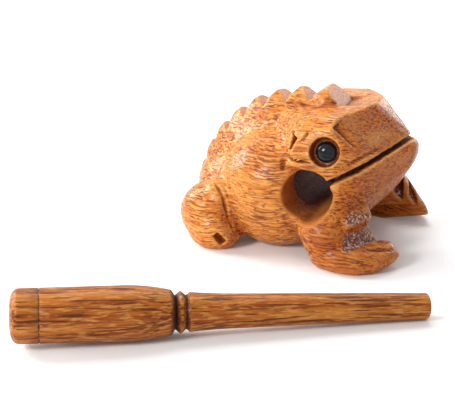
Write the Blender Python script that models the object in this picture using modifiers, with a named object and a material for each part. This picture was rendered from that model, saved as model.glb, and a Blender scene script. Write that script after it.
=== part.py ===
# Frog guiro: a carved wooden frog with a toothed spine, two domed bead eyes
# and a turned wooden striker that scrapes the spine and stores in the mouth bore.
# Metres, +Z up. +X is the way the frog faces, +Y its left side, and the frog
# stands on z = 0 with its plane of symmetry at y = 0.
import bpy
import bmesh
from math import atan2, cos, pi, radians, sin
from mathutils import Matrix, Vector
from mathutils.bvhtree import BVHTree

# Joints and fits
GLUE_GAP = 0.0003              # left all round a glued eye peg
STORAGE_CLEARANCE = 0.0006     # bore over the striker's handle, on the diameter
SIDES = (-1, 1)

# Back: an arc in side view, an ellipse across
BACK_CENTRE_X = 0.0060
BACK_CENTRE_Z = 0.0110
BACK_RADIUS = 0.0486
BACK_HALF_WIDTH = 0.0270
BACK_FRONT_CUT = (0.0300, 0.0, 0.0560)    # the back's arc stops behind this slope
BACK_FRONT_SLOPE = (-0.746, 0.0, 0.666)
BACK_LOWER_CUT = (0.0, 0.0, 0.0075)       # and above this height

# Crest: rounded teeth along the spine, each with a flat chip on its front
CREST_PROFILE = [              # distance from the middle, height over the back's radius
    (0.0000, 0.0054), (0.0020, 0.0051), (0.0040, 0.0040), (0.0060, 0.0020), (0.0080, -0.0004),
    (0.0100, -0.0029), (0.0125, -0.0059), (0.0150, -0.0090),
]
TOOTH_RISE = 0.0053            # tooth tops over the back
TOOTH_COUNT = 9
TOOTH_PITCH_DEGREES = 12.1
FIRST_TOOTH_DEGREES = 83.0
TOOTH_PITCH = BACK_RADIUS * radians(TOOTH_PITCH_DEGREES)
NOTCH_DEPTH = 0.0050           # from the tooth top down to the valley
NOTCH_REACH = 1.36 * TOOTH_PITCH
NOTCH_HALF_WIDTH = 0.0100
NOTCH_FACET_DEGREES = 123.0    # lean of the flat chip, measured from +X
NOTCH_BACK_DEGREES = 56.0      # lean of the wall in front of it
SLOPE_START = 0.0030           # up that wall, where the back of the next tooth begins
SLOPE_DEGREES = (20.0, 80.0)
SLOPE_SET_BACK = 0.0004        # it starts in the air of the notch
NOTCH_AHEAD_DEGREES = 3.4      # valley in front of the tooth top, along the arc

# The first tooth is the largest, and its long chip runs out on the head
FRONT_TOOTH_EXTRA = 0.0024
FRONT_TOOTH_HALF_LENGTH = 0.82 * TOOTH_PITCH
FRONT_TOOTH_HALF_WIDTH = 0.0100
FRONT_NOTCH_DEPTH = 0.0066
FRONT_NOTCH_REACH = 1.95 * TOOTH_PITCH
FRONT_NOTCH_HALF_WIDTHS = (0.0065, 0.0150)    # at the valley, and at the top
FRONT_NOTCH_FACET_DEGREES = 137.0
FRONT_NOTCH_BACK_DEGREES = 22.0
FRONT_NOTCH_AHEAD_DEGREES = 9.1

# Flanks, belly and neck
FLANK_CENTRE = (-0.0045, 0.0160, 0.0240)
FLANK_RADII = (0.0260, 0.0205, 0.0250)
BELLY_CENTRE = (-0.0040, 0.0000, 0.0220)
BELLY_RADII = (0.0360, 0.0260, 0.0232)
RUMP_CENTRE = (BACK_CENTRE_X - 0.70 * BACK_RADIUS, 0.0000, 0.0180)
RUMP_RADII = (0.38 * BACK_RADIUS, 0.0210, 0.0190)
NECK_CENTRE = (0.0020, 0.0180, 0.0405)
NECK_RADII = (0.0120, 0.0110, 0.0102)

# Hind legs
HAUNCH_CENTRE = (-0.0312, 0.0262, 0.0130)
HAUNCH_RADII = (0.0134, 0.0120, 0.0136)
THIGH_CENTRE = (-0.0268, 0.0272, 0.0165)
THIGH_RADII = (0.0095, 0.0100, 0.0128)
HIND_FOOT_CENTRE = (-0.0278, 0.0300, 0.0078)
HIND_FOOT_RADII = (0.0122, 0.0104, 0.0098)

# Head and lower jaw, as the corners of the faceted block
HEAD_CORNERS = [
    (0.0335, 0.0060, 0.0625), (0.0227, 0.0248, 0.0600), (0.0100, 0.0240, 0.0590),
    (0.0233, 0.0295, 0.0572), (0.0070, 0.0300, 0.0530), (0.0456, 0.0045, 0.0496),
    (0.0480, 0.0035, 0.0484), (0.0450, 0.0105, 0.0468), (0.0385, 0.0205, 0.0440),
    (0.0334, 0.0275, 0.0420), (0.0240, 0.0325, 0.0370), (0.0050, 0.0325, 0.0400),
    (0.0000, 0.0200, 0.0500), (0.0150, 0.0330, 0.0450),
    (-0.0040, 0.0100, 0.0560), (-0.0060, 0.0160, 0.0508),
]
JAW_CORNERS = [
    (0.0500, 0.0030, 0.0475), (0.0470, 0.0110, 0.0460), (0.0400, 0.0215, 0.0412),
    (0.0345, 0.0290, 0.0395), (0.0250, 0.0340, 0.0350), (0.0502, 0.0030, 0.0410),
    (0.0452, 0.0040, 0.0315), (0.0410, 0.0150, 0.0300), (0.0350, 0.0240, 0.0260),
    (0.0375, 0.0040, 0.0200), (0.0310, 0.0040, 0.0135), (0.0300, 0.0200, 0.0150),
    (0.0280, 0.0300, 0.0230), (0.0000, 0.0270, 0.0200), (0.0000, 0.0100, 0.0100),
    (0.0100, 0.0340, 0.0360), (0.0490, 0.0035, 0.0370), (0.0422, 0.0040, 0.0255),
]

# Front legs, and the corners of the feet, for a left foot; the right one is mirrored
SHOULDER_CENTRE = (0.0200, 0.0195, 0.0270)
SHOULDER_RADIUS = 0.0120
ANKLE_CENTRE = (0.0220, 0.0310, 0.0120)
ANKLE_RADIUS = 0.0108
ELBOW_CENTRE = (0.0190, 0.0300, 0.0150)
ELBOW_RADIUS = 0.0102
SOLE_CORNERS = [
    (0.0130, 0.0370, 0.0125), (0.0140, 0.0300, 0.0120), (0.0190, 0.0425, 0.0050),
    (0.0215, 0.0270, -0.0012), (0.0270, 0.0428, -0.0008), (0.0338, 0.0434, -0.0010),
    (0.0418, 0.0402, -0.0002), (0.0478, 0.0350, 0.0012), (0.0520, 0.0255, 0.0048),
    (0.0300, 0.0250, 0.0000), (0.0450, 0.0240, 0.0042),
]
# The two front feet are carved by hand and differ: the right one has two open steps,
# the left one is fuller
RIGHT_FOOT_BALLS = [           # centre and radius
    ((0.0225, 0.0350, 0.0056), 0.0066), ((0.0285, 0.0375, 0.0050), 0.0057),
    ((0.0355, 0.0374, 0.0046), 0.0053), ((0.0415, 0.0340, 0.0046), 0.0049),
    ((0.0466, 0.0292, 0.0053), 0.0036), ((0.0500, 0.0260, 0.0058), 0.0014),
    ((0.0440, 0.0250, 0.0062), 0.0035), ((0.0300, 0.0280, 0.0045), 0.0050),
]
RIGHT_INSTEP_CORNERS = [
    (0.0372, 0.0225, 0.0149), (0.0341, 0.0300, 0.0152), (0.0313, 0.0345, 0.0143),
    (0.0290, 0.0365, 0.0124), (0.0412, 0.0235, 0.0096), (0.0333, 0.0345, 0.0088),
    (0.0200, 0.0200, 0.0050), (0.0200, 0.0360, 0.0050), (0.0356, 0.0220, 0.0180),
    (0.0300, 0.0325, 0.0180),
]
RIGHT_WRIST_CORNERS = [
    (0.0382, 0.0232, 0.0218), (0.0386, 0.0242, 0.0190), (0.0380, 0.0236, 0.0170),
    (0.0316, 0.0358, 0.0186), (0.0308, 0.0352, 0.0162), (0.0355, 0.0205, 0.0250),
    (0.0288, 0.0340, 0.0222), (0.0200, 0.0180, 0.0270), (0.0200, 0.0320, 0.0260),
    (0.0180, 0.0200, 0.0150), (0.0180, 0.0350, 0.0150),
]
LEFT_TOE_CORNERS = [
    (0.0290, 0.0385, 0.0105), (0.0378, 0.0345, 0.0190), (0.0415, 0.0345, 0.0140),
    (0.0447, 0.0335, 0.0101), (0.0486, 0.0300, 0.0072), (0.0386, 0.0312, 0.0203),
    (0.0421, 0.0312, 0.0152), (0.0457, 0.0305, 0.0109), (0.0393, 0.0262, 0.0207),
    (0.0428, 0.0275, 0.0163), (0.0463, 0.0275, 0.0119), (0.0498, 0.0262, 0.0088),
    (0.0402, 0.0238, 0.0185), (0.0443, 0.0238, 0.0130), (0.0480, 0.0238, 0.0100),
    (0.0506, 0.0245, 0.0080),
]
LEFT_INSTEP_CORNERS = [
    (0.0426, 0.0270, 0.0166), (0.0376, 0.0320, 0.0196), (0.0406, 0.0242, 0.0196),
    (0.0398, 0.0240, 0.0090), (0.0280, 0.0370, 0.0130), (0.0200, 0.0200, 0.0050),
    (0.0200, 0.0360, 0.0050),
]
LEFT_WRIST_CORNERS = [
    (0.0390, 0.0265, 0.0210), (0.0345, 0.0345, 0.0206), (0.0378, 0.0255, 0.0165),
    (0.0325, 0.0345, 0.0165), (0.0200, 0.0180, 0.0270), (0.0200, 0.0320, 0.0260),
    (0.0180, 0.0200, 0.0150), (0.0180, 0.0350, 0.0150),
]

# Surface of the carved block before its cuts
CARVING_VOXEL = 0.0011
SANDING_PASSES = 5
BODY_TRIANGLE_SHARE = 0.105
SHARP_EDGE_DEGREES = 40.0

# Head facets, planed flat: the way each faces, and a point on it
SIDE_FACET_NORMAL = (0.685, 0.468, 0.559)
SIDE_FACET_POINT = (0.0335, 0.0060, 0.0622)
SNOUT_FACET_NORMAL = (0.715, 0.0, 0.699)
SNOUT_FACET_POINT = (0.0432, 0.0, 0.0538)

# Knife chips and grooves on each side: start, end, the way the skin faces there,
# then width and depth at the start and at the end
SIDE_CHIPS = {
    "brow": ((0.0236, 0.0276, 0.0579), (0.0340, 0.0246, 0.0464), (0.685, 0.468, 0.559),
             (0.0062, 0.0034), (0.0012, 0.0006)),
    "temple": ((0.0069, 0.0282, 0.0518), (0.0045, 0.0296, 0.0460), (-0.30, 0.86, 0.35),
               (0.0030, 0.0034), (0.0014, 0.0012)),
    "cheek": ((0.0024, 0.0307, 0.0424), (0.0029, 0.0318, 0.0376), (0.02, 0.84, 0.52),
              (0.0056, 0.0026), (0.0010, 0.0010)),
    "ledge": ((0.0015, 0.0292, 0.0429), (0.0152, 0.0330, 0.0424), (-0.05, 0.92, 0.38),
              (0.0018, 0.0012), (0.0014, 0.0009)),
    "hind_toe": ((-0.0238, 0.0398, 0.0086), (-0.0208, 0.0378, 0.0040), (0.40, 0.90, 0.00),
                 (0.0034, 0.0024), (0.0044, 0.0030)),
}

RIGHT_TOE_CHIPS = {
    "toe_groove": ((0.0333, 0.0345, 0.0094), (0.0436, 0.0210, 0.0100), (0.30, 0.20, 0.93),
                   (0.0010, 0.0006), (0.0034, 0.0022)),
    "lens_rear": ((0.0376, 0.0336, 0.0091), (0.0430, 0.0300, 0.0087), (0.28, 0.45, 0.85),
                  (0.0003, 0.0003), (0.0012, 0.0012)),
    "lens_front": ((0.0430, 0.0300, 0.0087), (0.0488, 0.0262, 0.0082), (0.28, 0.45, 0.85),
                   (0.0012, 0.0012), (0.0003, 0.0003)),
}

# The two V cuts between the toes of the left foot, as their corners: the inner end, then
# the outer end
LEFT_TOE_CUTS = {
    "inner_v": [
        (0.0404, 0.0220, 0.0083), (0.0349, 0.0220, 0.0137), (0.0349, 0.0220, 0.0195),
        (0.0400, 0.0220, 0.0225), (0.0376, 0.0310, 0.0153), (0.0371, 0.0310, 0.0190),
        (0.0371, 0.0310, 0.0230), (0.0380, 0.0310, 0.0230),
    ],
    "outer_v": [
        (0.0481, 0.0220, 0.0066), (0.0430, 0.0220, 0.0116), (0.0430, 0.0220, 0.0180),
        (0.0486, 0.0220, 0.0150), (0.0402, 0.0310, 0.0156), (0.0397, 0.0310, 0.0175),
        (0.0397, 0.0310, 0.0220), (0.0410, 0.0310, 0.0220),
    ],
}

# Mouth: a saw cut that climbs forwards from the bore to the lip
MOUTH_LIP_X = 0.0477
MOUTH_LIP_Z = 0.0482
MOUTH_CLIMB_DEGREES = 27.5
MOUTH_CUT = 0.0020
MOUTH_OVERRUN = 0.0100         # the saw runs out past the lip

# Cross bore through both mouth corners, and the sound chamber inside
BORE_X = 0.0137
BORE_Z = 0.0286
CHAMBER_X = 0.0110
CHAMBER_Z = 0.0313
CHAMBER_RADIUS = 0.0130
CHAMBER_HALF_LENGTH = 0.0195
CHAMBER_EDGE = 0.0050

# Eyes: a ring gouged round a domed bead on a glued peg
EYE_X = 0.0198
EYE_Z = 0.0473
EYE_DIAMETER = 0.0087
EYE_DOME_HEIGHT = 0.0034
EYE_PEG_DIAMETER = 0.0040
EYE_PEG_LENGTH = 0.0050
EYE_SINK = 0.0034              # bead seat under the surface
EYE_RING_WIDTH = 0.0019        # gouge round the bead, at the surface
EYE_LIFT_DEGREES = 12.0        # the eyes look up a little

# Striker: a turned stick that lies beside the frog
STRIKER_LENGTH = 0.1520
HANDLE_DIAMETER = 0.0201
HANDLE_END_DIAMETER = 0.0195
HANDLE_NECK_DIAMETER = 0.0162
HANDLE_BULGE_AT = 0.0400
HANDLE_LENGTH = 0.0570
HANDLE_DOME = 0.0034
SCRIBE_LINE_AT = 0.0103
SCRIBE_LINE_WIDTH = 0.0009
SCRIBE_LINE_DEPTH = 0.0003
COLLAR_GROOVE_DIAMETER = 0.0122
COLLAR_BEAD_DIAMETER = 0.0152
COLLAR_BEAD_AT = 0.0601
COLLAR_BEAD_LENGTH = 0.0010
COLLAR_LENGTH = 0.0060
SHAFT_SHOULDER_DIAMETER = 0.0142
SHAFT_WAIST_DIAMETER = 0.0124
SHAFT_WAIST_AFTER = 0.0210
SHAFT_EDGE = 0.0005            # bevel on the shaft's shoulder
SHAFT_TIP_DIAMETER = 0.0098
SHAFT_TIP_ROUND = 0.0012
STRIKER_HEADING_DEGREES = 30.7
STRIKER_END = (-0.0585, -0.1435)
STRIKER_SIDES = 32


def collection(name):
    made = bpy.data.collections.new(name)
    bpy.context.scene.collection.children.link(made)
    return made


def mesh_object(name, bm, where):
    bmesh.ops.recalc_face_normals(bm, faces=bm.faces)
    mesh = bpy.data.meshes.new(name)
    bm.to_mesh(mesh)
    bm.free()
    made = bpy.data.objects.new(name, mesh)
    where.objects.link(made)
    return made


def cutter(name, bm):
    made = mesh_object(name, bm, CUTTERS)
    made.hide_render = True
    made.display_type = "WIRE"
    return made


def principled(name, colour, roughness, metallic=0.0):
    material = bpy.data.materials.new(name)
    material.use_nodes = True
    shader = material.node_tree.nodes["Principled BSDF"]
    shader.inputs["Base Color"].default_value = (*colour, 1.0)
    shader.inputs["Roughness"].default_value = roughness
    shader.inputs["Metallic"].default_value = metallic
    return material


def on_side(point, side):
    return Vector((point[0], side * point[1], point[2]))


def add_ellipsoid(bm, centre, radii):
    place = Matrix.Translation(centre) @ Matrix.Diagonal((*radii, 1.0))
    bmesh.ops.create_uvsphere(bm, u_segments=48, v_segments=24, radius=1.0, matrix=place)


def add_back_piece(bm, piece):
    """Adds a shape round the back's centre, without its front and underside."""
    for point, normal in ((BACK_FRONT_CUT, BACK_FRONT_SLOPE), (BACK_LOWER_CUT, (0, 0, 1))):
        bmesh.ops.bisect_plane(piece, geom=piece.verts[:] + piece.edges[:] + piece.faces[:],
                               plane_co=point, plane_no=normal, clear_inner=True)
        bmesh.ops.holes_fill(piece, edges=[edge for edge in piece.edges if edge.is_boundary])
    mesh = bpy.data.meshes.new("back_piece")
    piece.to_mesh(mesh)
    piece.free()
    bm.from_mesh(mesh)
    bpy.data.meshes.remove(mesh)


def back_ellipsoid():
    piece = bmesh.new()
    add_ellipsoid(piece, (BACK_CENTRE_X, 0, BACK_CENTRE_Z), (BACK_RADIUS, BACK_HALF_WIDTH, BACK_RADIUS))
    return piece


def crest_wheel():
    """The crest before its notches: a wheel round the back's centre with a roof-shaped rim."""
    steps = 120
    rim = [(-away, BACK_RADIUS + rise) for away, rise in reversed(CREST_PROFILE[1:])]
    rim += [(away, BACK_RADIUS + rise) for away, rise in CREST_PROFILE]
    piece = bmesh.new()
    rings = []
    for step in range(steps):
        turn = 2 * pi * step / steps
        rings.append([piece.verts.new((BACK_CENTRE_X + radius * cos(turn), away,
                                       BACK_CENTRE_Z + radius * sin(turn))) for away, radius in rim])
    for step in range(steps):
        here, there = rings[step], rings[(step + 1) % steps]
        for place in range(len(rim) - 1):
            piece.faces.new((here[place], here[place + 1], there[place + 1], there[place]))
    piece.faces.new([ring[0] for ring in rings])
    piece.faces.new([ring[-1] for ring in reversed(rings)])
    bmesh.ops.recalc_face_normals(piece, faces=piece.faces)
    return piece


def add_hull(bm, points):
    corners = [bm.verts.new(point) for point in points]
    hull = bmesh.ops.convex_hull(bm, input=corners)
    loose = [item for item in hull["geom_interior"] if isinstance(item, bmesh.types.BMVert)]
    bmesh.ops.delete(bm, geom=loose, context="VERTS")


def sphere_points(centre, radius):
    rings = 8
    spokes = 16
    points = []
    for ring in range(rings + 1):
        polar = pi * ring / rings
        for spoke in range(spokes):
            turn = 2 * pi * spoke / spokes
            step = Vector((sin(polar) * cos(turn), sin(polar) * sin(turn), cos(polar)))
            points.append(centre + radius * step)
    return points


def add_block(bm, frame, size):
    bmesh.ops.create_cube(bm, size=1.0, matrix=frame @ Matrix.Diagonal((*size, 1.0)))


def facing(point, normal, along):
    """A frame at point whose Z is the normal and whose X lies near along."""
    z = Vector(normal).normalized()
    x = (Vector(along) - z * z.dot(Vector(along))).normalized()
    y = z.cross(x)
    frame = Matrix((x, y, z)).transposed().to_4x4()
    frame.translation = point
    return frame


# The frog's masses
def crest_point(angle, radius):
    return Vector((BACK_CENTRE_X + radius * cos(angle), 0, BACK_CENTRE_Z + radius * sin(angle)))


def tooth_angle(index):
    return radians(FIRST_TOOTH_DEGREES + index * TOOTH_PITCH_DEGREES)


def tooth_top_radius(index):
    return BACK_RADIUS + TOOTH_RISE + (FRONT_TOOTH_EXTRA if index == 0 else 0)


def add_front_tooth(bm):
    angle = tooth_angle(0)
    rise = tooth_top_radius(0) - BACK_RADIUS
    place = Matrix.Translation(crest_point(angle, BACK_RADIUS)) @ Matrix.Rotation(pi / 2 - angle, 4, "Y")
    place = place @ Matrix.Diagonal((FRONT_TOOTH_HALF_LENGTH, FRONT_TOOTH_HALF_WIDTH, rise, 1.0))
    bmesh.ops.create_uvsphere(bm, u_segments=32, v_segments=16, radius=1.0, matrix=place)


def carved_masses():
    bm = bmesh.new()
    add_back_piece(bm, back_ellipsoid())
    add_back_piece(bm, crest_wheel())
    add_front_tooth(bm)
    add_ellipsoid(bm, BELLY_CENTRE, BELLY_RADII)
    add_ellipsoid(bm, RUMP_CENTRE, RUMP_RADII)
    add_hull(bm, [on_side(point, side) for side in SIDES for point in HEAD_CORNERS])
    add_hull(bm, [on_side(point, side) for side in SIDES for point in JAW_CORNERS])
    for side in SIDES:
        add_ellipsoid(bm, on_side(FLANK_CENTRE, side), FLANK_RADII)
        add_ellipsoid(bm, on_side(NECK_CENTRE, side), NECK_RADII)
        add_ellipsoid(bm, on_side(HAUNCH_CENTRE, side), HAUNCH_RADII)
        add_ellipsoid(bm, on_side(THIGH_CENTRE, side), THIGH_RADII)
        add_ellipsoid(bm, on_side(HIND_FOOT_CENTRE, side), HIND_FOOT_RADII)
        shoulder = sphere_points(on_side(SHOULDER_CENTRE, side), SHOULDER_RADIUS)
        elbow = sphere_points(on_side(ELBOW_CENTRE, side), ELBOW_RADIUS)
        ankle = sphere_points(on_side(ANKLE_CENTRE, side), ANKLE_RADIUS)
        add_hull(bm, shoulder + elbow + ankle)
    right_foot = []
    for centre, radius in RIGHT_FOOT_BALLS:
        right_foot += sphere_points(on_side(centre, -1), radius)
    add_hull(bm, right_foot)
    add_hull(bm, [on_side(point, 1) for point in SOLE_CORNERS + LEFT_TOE_CORNERS])
    for side, instep, wrist in ((-1, RIGHT_INSTEP_CORNERS, RIGHT_WRIST_CORNERS),
                                (1, LEFT_INSTEP_CORNERS, LEFT_WRIST_CORNERS)):
        add_hull(bm, [on_side(point, side) for point in instep])
        add_hull(bm, [on_side(point, side) for point in wrist])
    return bm


def add_modifier(target, kind, **settings):
    modifier = target.modifiers.new(kind.title(), kind)
    for name, value in settings.items():
        setattr(modifier, name, value)
    return modifier


def rough_frog():
    """The masses joined, sanded and thinned to few triangles, before any cut."""
    body = mesh_object("frog_body", carved_masses(), PARTS)
    add_modifier(body, "REMESH", mode="VOXEL", voxel_size=CARVING_VOXEL)
    add_modifier(body, "SMOOTH", factor=0.5, iterations=SANDING_PASSES)
    add_modifier(body, "DECIMATE", ratio=BODY_TRIANGLE_SHARE, use_collapse_triangulate=True)
    depsgraph = bpy.context.evaluated_depsgraph_get()
    carved = bpy.data.meshes.new_from_object(body.evaluated_get(depsgraph))
    body.modifiers.clear()
    body.data = carved
    carved.shade_smooth()
    carved.set_sharp_from_angle(angle=radians(SHARP_EDGE_DEGREES))
    return body


def surface_at(tree, x, z, side):
    """The frog's skin where a level ray from the side meets it."""
    start = Vector((x, side * 0.2, z))
    point, normal, face, distance = tree.ray_cast(start, Vector((0, -side, 0)))
    return point


# Cutters
def plane_cut(name, point, normal):
    reach = 0.08
    depth = 0.03
    bm = bmesh.new()
    frame = facing(point, normal, (0, 0, 1)) @ Matrix.Translation((0, 0, depth / 2))
    add_block(bm, frame, (reach, reach, depth))
    return cutter(name, bm)


def notch_cut(index):
    """The V in front of one tooth: a flat chip on the tooth, a steeper wall ahead of it,
    and the slope that rounds off the back of the tooth ahead."""
    ahead, depth, reach = NOTCH_AHEAD_DEGREES, NOTCH_DEPTH, NOTCH_REACH
    chip, wall = NOTCH_FACET_DEGREES, NOTCH_BACK_DEGREES
    widths = (NOTCH_HALF_WIDTH, NOTCH_HALF_WIDTH)
    if index == 0:
        ahead, depth, reach = FRONT_NOTCH_AHEAD_DEGREES, FRONT_NOTCH_DEPTH, FRONT_NOTCH_REACH
        chip, wall = FRONT_NOTCH_FACET_DEGREES, FRONT_NOTCH_BACK_DEGREES
        widths = FRONT_NOTCH_HALF_WIDTHS
    turned_back = index * TOOTH_PITCH_DEGREES
    valley = crest_point(tooth_angle(index) - radians(ahead), tooth_top_radius(index) - depth)
    points = [valley + Vector((0, side * widths[0], 0)) for side in SIDES]
    for lean in (radians(chip + 0.35 * turned_back), radians(wall + 0.75 * turned_back)):
        corner = valley + reach * Vector((cos(lean), 0, sin(lean)))
        points += [corner + Vector((0, side * widths[1], 0)) for side in SIDES]
    bm = bmesh.new()
    add_hull(bm, points)
    made = [cutter("notch_%d" % index, bm)]
    if index:
        lean = radians(wall + 0.75 * turned_back)
        foot = valley + SLOPE_START * Vector((cos(lean), 0, sin(lean)))
        foot += SLOPE_SET_BACK * Vector((-sin(lean), 0, cos(lean)))
        half = widths[0] + SLOPE_SET_BACK
        points = [foot + Vector((0, side * half, 0)) for side in SIDES]
        for degrees in SLOPE_DEGREES:
            lean = radians(degrees + 0.95 * turned_back)
            corner = foot + reach * Vector((cos(lean), 0, sin(lean)))
            points += [corner + Vector((0, side * half, 0)) for side in SIDES]
        bm = bmesh.new()
        add_hull(bm, points)
        made.append(cutter("slope_%d" % index, bm))
    return made


def chip_cut(name, start, end, faces, start_size, end_size):
    """A V groove cut into the skin from start to end, with its own size at each end."""
    faces = Vector(faces).normalized()
    run = (end - start).normalized()
    across = faces.cross(run).normalized()
    points = []
    for point, (width, depth) in ((start, start_size), (end, end_size)):
        points.append(point - faces * depth)
        for sign in SIDES:
            points.append(point + faces * depth + sign * across * width)
    bm = bmesh.new()
    add_hull(bm, points)
    return cutter(name, bm)


def side_chip_cuts(side, word, chips):
    made = []
    for label, (start, end, faces, start_size, end_size) in chips.items():
        name = "%s_%s" % (label, word)
        made.append(chip_cut(name, on_side(start, side), on_side(end, side), on_side(faces, side),
                             start_size, end_size))
    return made


def toe_cut(name, corners):
    bm = bmesh.new()
    add_hull(bm, corners)
    return cutter(name, bm)


def bore_cut():
    bm = bmesh.new()
    radius = (HANDLE_DIAMETER + STORAGE_CLEARANCE) / 2
    place = Matrix.Translation((BORE_X, 0, BORE_Z)) @ Matrix.Rotation(pi / 2, 4, "X")
    bmesh.ops.create_cone(bm, cap_ends=True, segments=40, radius1=radius, radius2=radius,
                          depth=0.12, matrix=place)
    return cutter("cross_bore", bm)


def chamber_cut():
    bm = bmesh.new()
    place = Matrix.Translation((CHAMBER_X, 0, CHAMBER_Z)) @ Matrix.Rotation(pi / 2, 4, "X")
    bmesh.ops.create_cone(bm, cap_ends=True, segments=36, radius1=CHAMBER_RADIUS,
                          radius2=CHAMBER_RADIUS, depth=2 * CHAMBER_HALF_LENGTH, matrix=place)
    rims = [edge for edge in bm.edges if any(len(face.verts) > 4 for face in edge.link_faces)]
    bmesh.ops.bevel(bm, geom=rims, offset=CHAMBER_EDGE, segments=2, profile=0.5, affect="EDGES")
    return cutter("sound_chamber", bm)


def mouth_cut():
    bm = bmesh.new()
    climb = radians(MOUTH_CLIMB_DEGREES)
    lip = Vector((MOUTH_LIP_X, 0, MOUTH_LIP_Z))
    forwards = Vector((cos(climb), 0, sin(climb)))
    start = Vector((BORE_X, 0, MOUTH_LIP_Z - (MOUTH_LIP_X - BORE_X) * sin(climb) / cos(climb)))
    end = lip + MOUTH_OVERRUN * forwards
    frame = facing((start + end) / 2, (-sin(climb), 0, cos(climb)), forwards)
    add_block(bm, frame, ((end - start).length, 0.12, MOUTH_CUT))
    return cutter("mouth_cut", bm)


def floor_cut():
    bm = bmesh.new()
    depth = 0.02
    add_block(bm, Matrix.Translation((0, 0, -depth / 2)), (0.16, 0.16, depth))
    return cutter("floor_cut", bm)


def eye_frame(tree, side):
    """A frame in the eye's seat whose Z looks out along the eye."""
    lift = radians(EYE_LIFT_DEGREES)
    out = Vector((0, side * cos(lift), sin(lift)))
    skin = surface_at(tree, EYE_X, EYE_Z, side)
    return facing(skin - EYE_SINK * out, out, (1, 0, 0))


def eye_socket_cut(name, frame):
    """A cone-sided ring round the bead, and the hole for its peg."""
    bm = bmesh.new()
    seat = EYE_DIAMETER / 2 + 4 * GLUE_GAP
    mouth = EYE_DIAMETER / 2 + EYE_RING_WIDTH
    slope = (mouth - seat) / EYE_SINK
    height = EYE_SINK + 0.006
    ring = frame @ Matrix.Translation((0, 0, height / 2))
    bmesh.ops.create_cone(bm, cap_ends=True, segments=32, radius1=seat,
                          radius2=seat + slope * height, depth=height, matrix=ring)
    made = cutter(name + "_ring", bm)
    bm = bmesh.new()
    radius = EYE_PEG_DIAMETER / 2 + GLUE_GAP
    depth = EYE_PEG_LENGTH + GLUE_GAP
    hole = frame @ Matrix.Translation((0, 0, 0.001 - (depth + 0.001) / 2))
    bmesh.ops.create_cone(bm, cap_ends=True, segments=16, radius1=radius, radius2=radius,
                          depth=depth + 0.001, matrix=hole)
    return [made, cutter(name + "_hole", bm)]


def carve(body, cutters):
    for tool in cutters:
        add_modifier(body, "BOOLEAN", object=tool, operation="DIFFERENCE", solver="EXACT")


# Turned pieces
def turned(name, profile, steps, where):
    """A profile of (radius, height) from top to bottom, spun about Z."""
    mesh = bpy.data.meshes.new(name)
    points = [(radius, 0, height) for radius, height in profile]
    mesh.from_pydata(points, [(i, i + 1) for i in range(len(points) - 1)], [])
    made = bpy.data.objects.new(name, mesh)
    where.objects.link(made)
    add_modifier(made, "SCREW", axis="Z", steps=steps, render_steps=steps, use_merge_vertices=True,
                 merge_threshold=0.00001, use_smooth_shade=True)
    return made


def eye_bead(name, frame):
    dome_steps = 6
    radius = EYE_DIAMETER / 2
    profile = []
    for step in range(dome_steps + 1):
        turn = pi / 2 * step / dome_steps
        profile.append((radius * sin(turn), GLUE_GAP + EYE_DOME_HEIGHT * cos(turn)))
    profile.append((radius, GLUE_GAP))
    profile.append((EYE_PEG_DIAMETER / 2, GLUE_GAP))
    profile.append((EYE_PEG_DIAMETER / 2, GLUE_GAP - EYE_PEG_LENGTH))
    profile.append((0, GLUE_GAP - EYE_PEG_LENGTH))
    bead = turned(name, profile, 20, PARTS)
    bead.matrix_world = frame
    return bead


def striker_profile():
    """(radius, distance from the handle's end), from the tip back to the handle."""
    collar_start = HANDLE_LENGTH
    collar_end = HANDLE_LENGTH + COLLAR_LENGTH
    groove = COLLAR_GROOVE_DIAMETER / 2
    bead = COLLAR_BEAD_DIAMETER / 2
    bead_half = COLLAR_BEAD_LENGTH / 2
    points = [(0, STRIKER_LENGTH)]
    tip = SHAFT_TIP_DIAMETER / 2
    for step in range(4):
        turn = pi / 2 * step / 3
        points.append((tip - SHAFT_TIP_ROUND * (1 - sin(turn)),
                       STRIKER_LENGTH - SHAFT_TIP_ROUND * (1 - cos(turn))))
    waist = SHAFT_WAIST_DIAMETER / 2
    shoulder = SHAFT_SHOULDER_DIAMETER / 2
    flare_steps = 5
    for step in range(flare_steps + 1):
        share = 1 - step / flare_steps
        bow = (1 - share) ** 1.8
        reach = SHAFT_EDGE + (SHAFT_WAIST_AFTER - SHAFT_EDGE) * share
        points.append((waist + (shoulder - waist) * bow, collar_end + reach))
    points.append((shoulder - SHAFT_EDGE, collar_end))
    points.append((groove, (COLLAR_BEAD_AT + bead_half + collar_end) / 2 + 0.0002))
    points.append((bead, COLLAR_BEAD_AT + bead_half))
    points.append((bead, COLLAR_BEAD_AT - bead_half))
    points.append((groove, (COLLAR_BEAD_AT - bead_half + collar_start) / 2 - 0.0002))
    neck = HANDLE_NECK_DIAMETER / 2
    bulge = HANDLE_DIAMETER / 2
    end = HANDLE_END_DIAMETER / 2
    bulge_steps = 5
    for step in range(bulge_steps):
        share = step / bulge_steps
        bow = 1 - (1 - share) ** 2
        points.append((neck + (bulge - neck) * bow,
                       collar_start - (collar_start - HANDLE_BULGE_AT) * share))
    points.append((bulge, HANDLE_BULGE_AT))
    scribe = end + (bulge - end) * (SCRIBE_LINE_AT - HANDLE_DOME) / (HANDLE_BULGE_AT - HANDLE_DOME)
    points.append((scribe, SCRIBE_LINE_AT + SCRIBE_LINE_WIDTH / 2))
    points.append((scribe - SCRIBE_LINE_DEPTH, SCRIBE_LINE_AT))
    points.append((scribe, SCRIBE_LINE_AT - SCRIBE_LINE_WIDTH / 2))
    dome_steps = 6
    for step in range(dome_steps + 1):
        turn = pi / 2 * step / dome_steps
        points.append((end * cos(turn) ** 0.5 if step < dome_steps else 0, HANDLE_DOME * (1 - sin(turn))))
    return points


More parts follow.
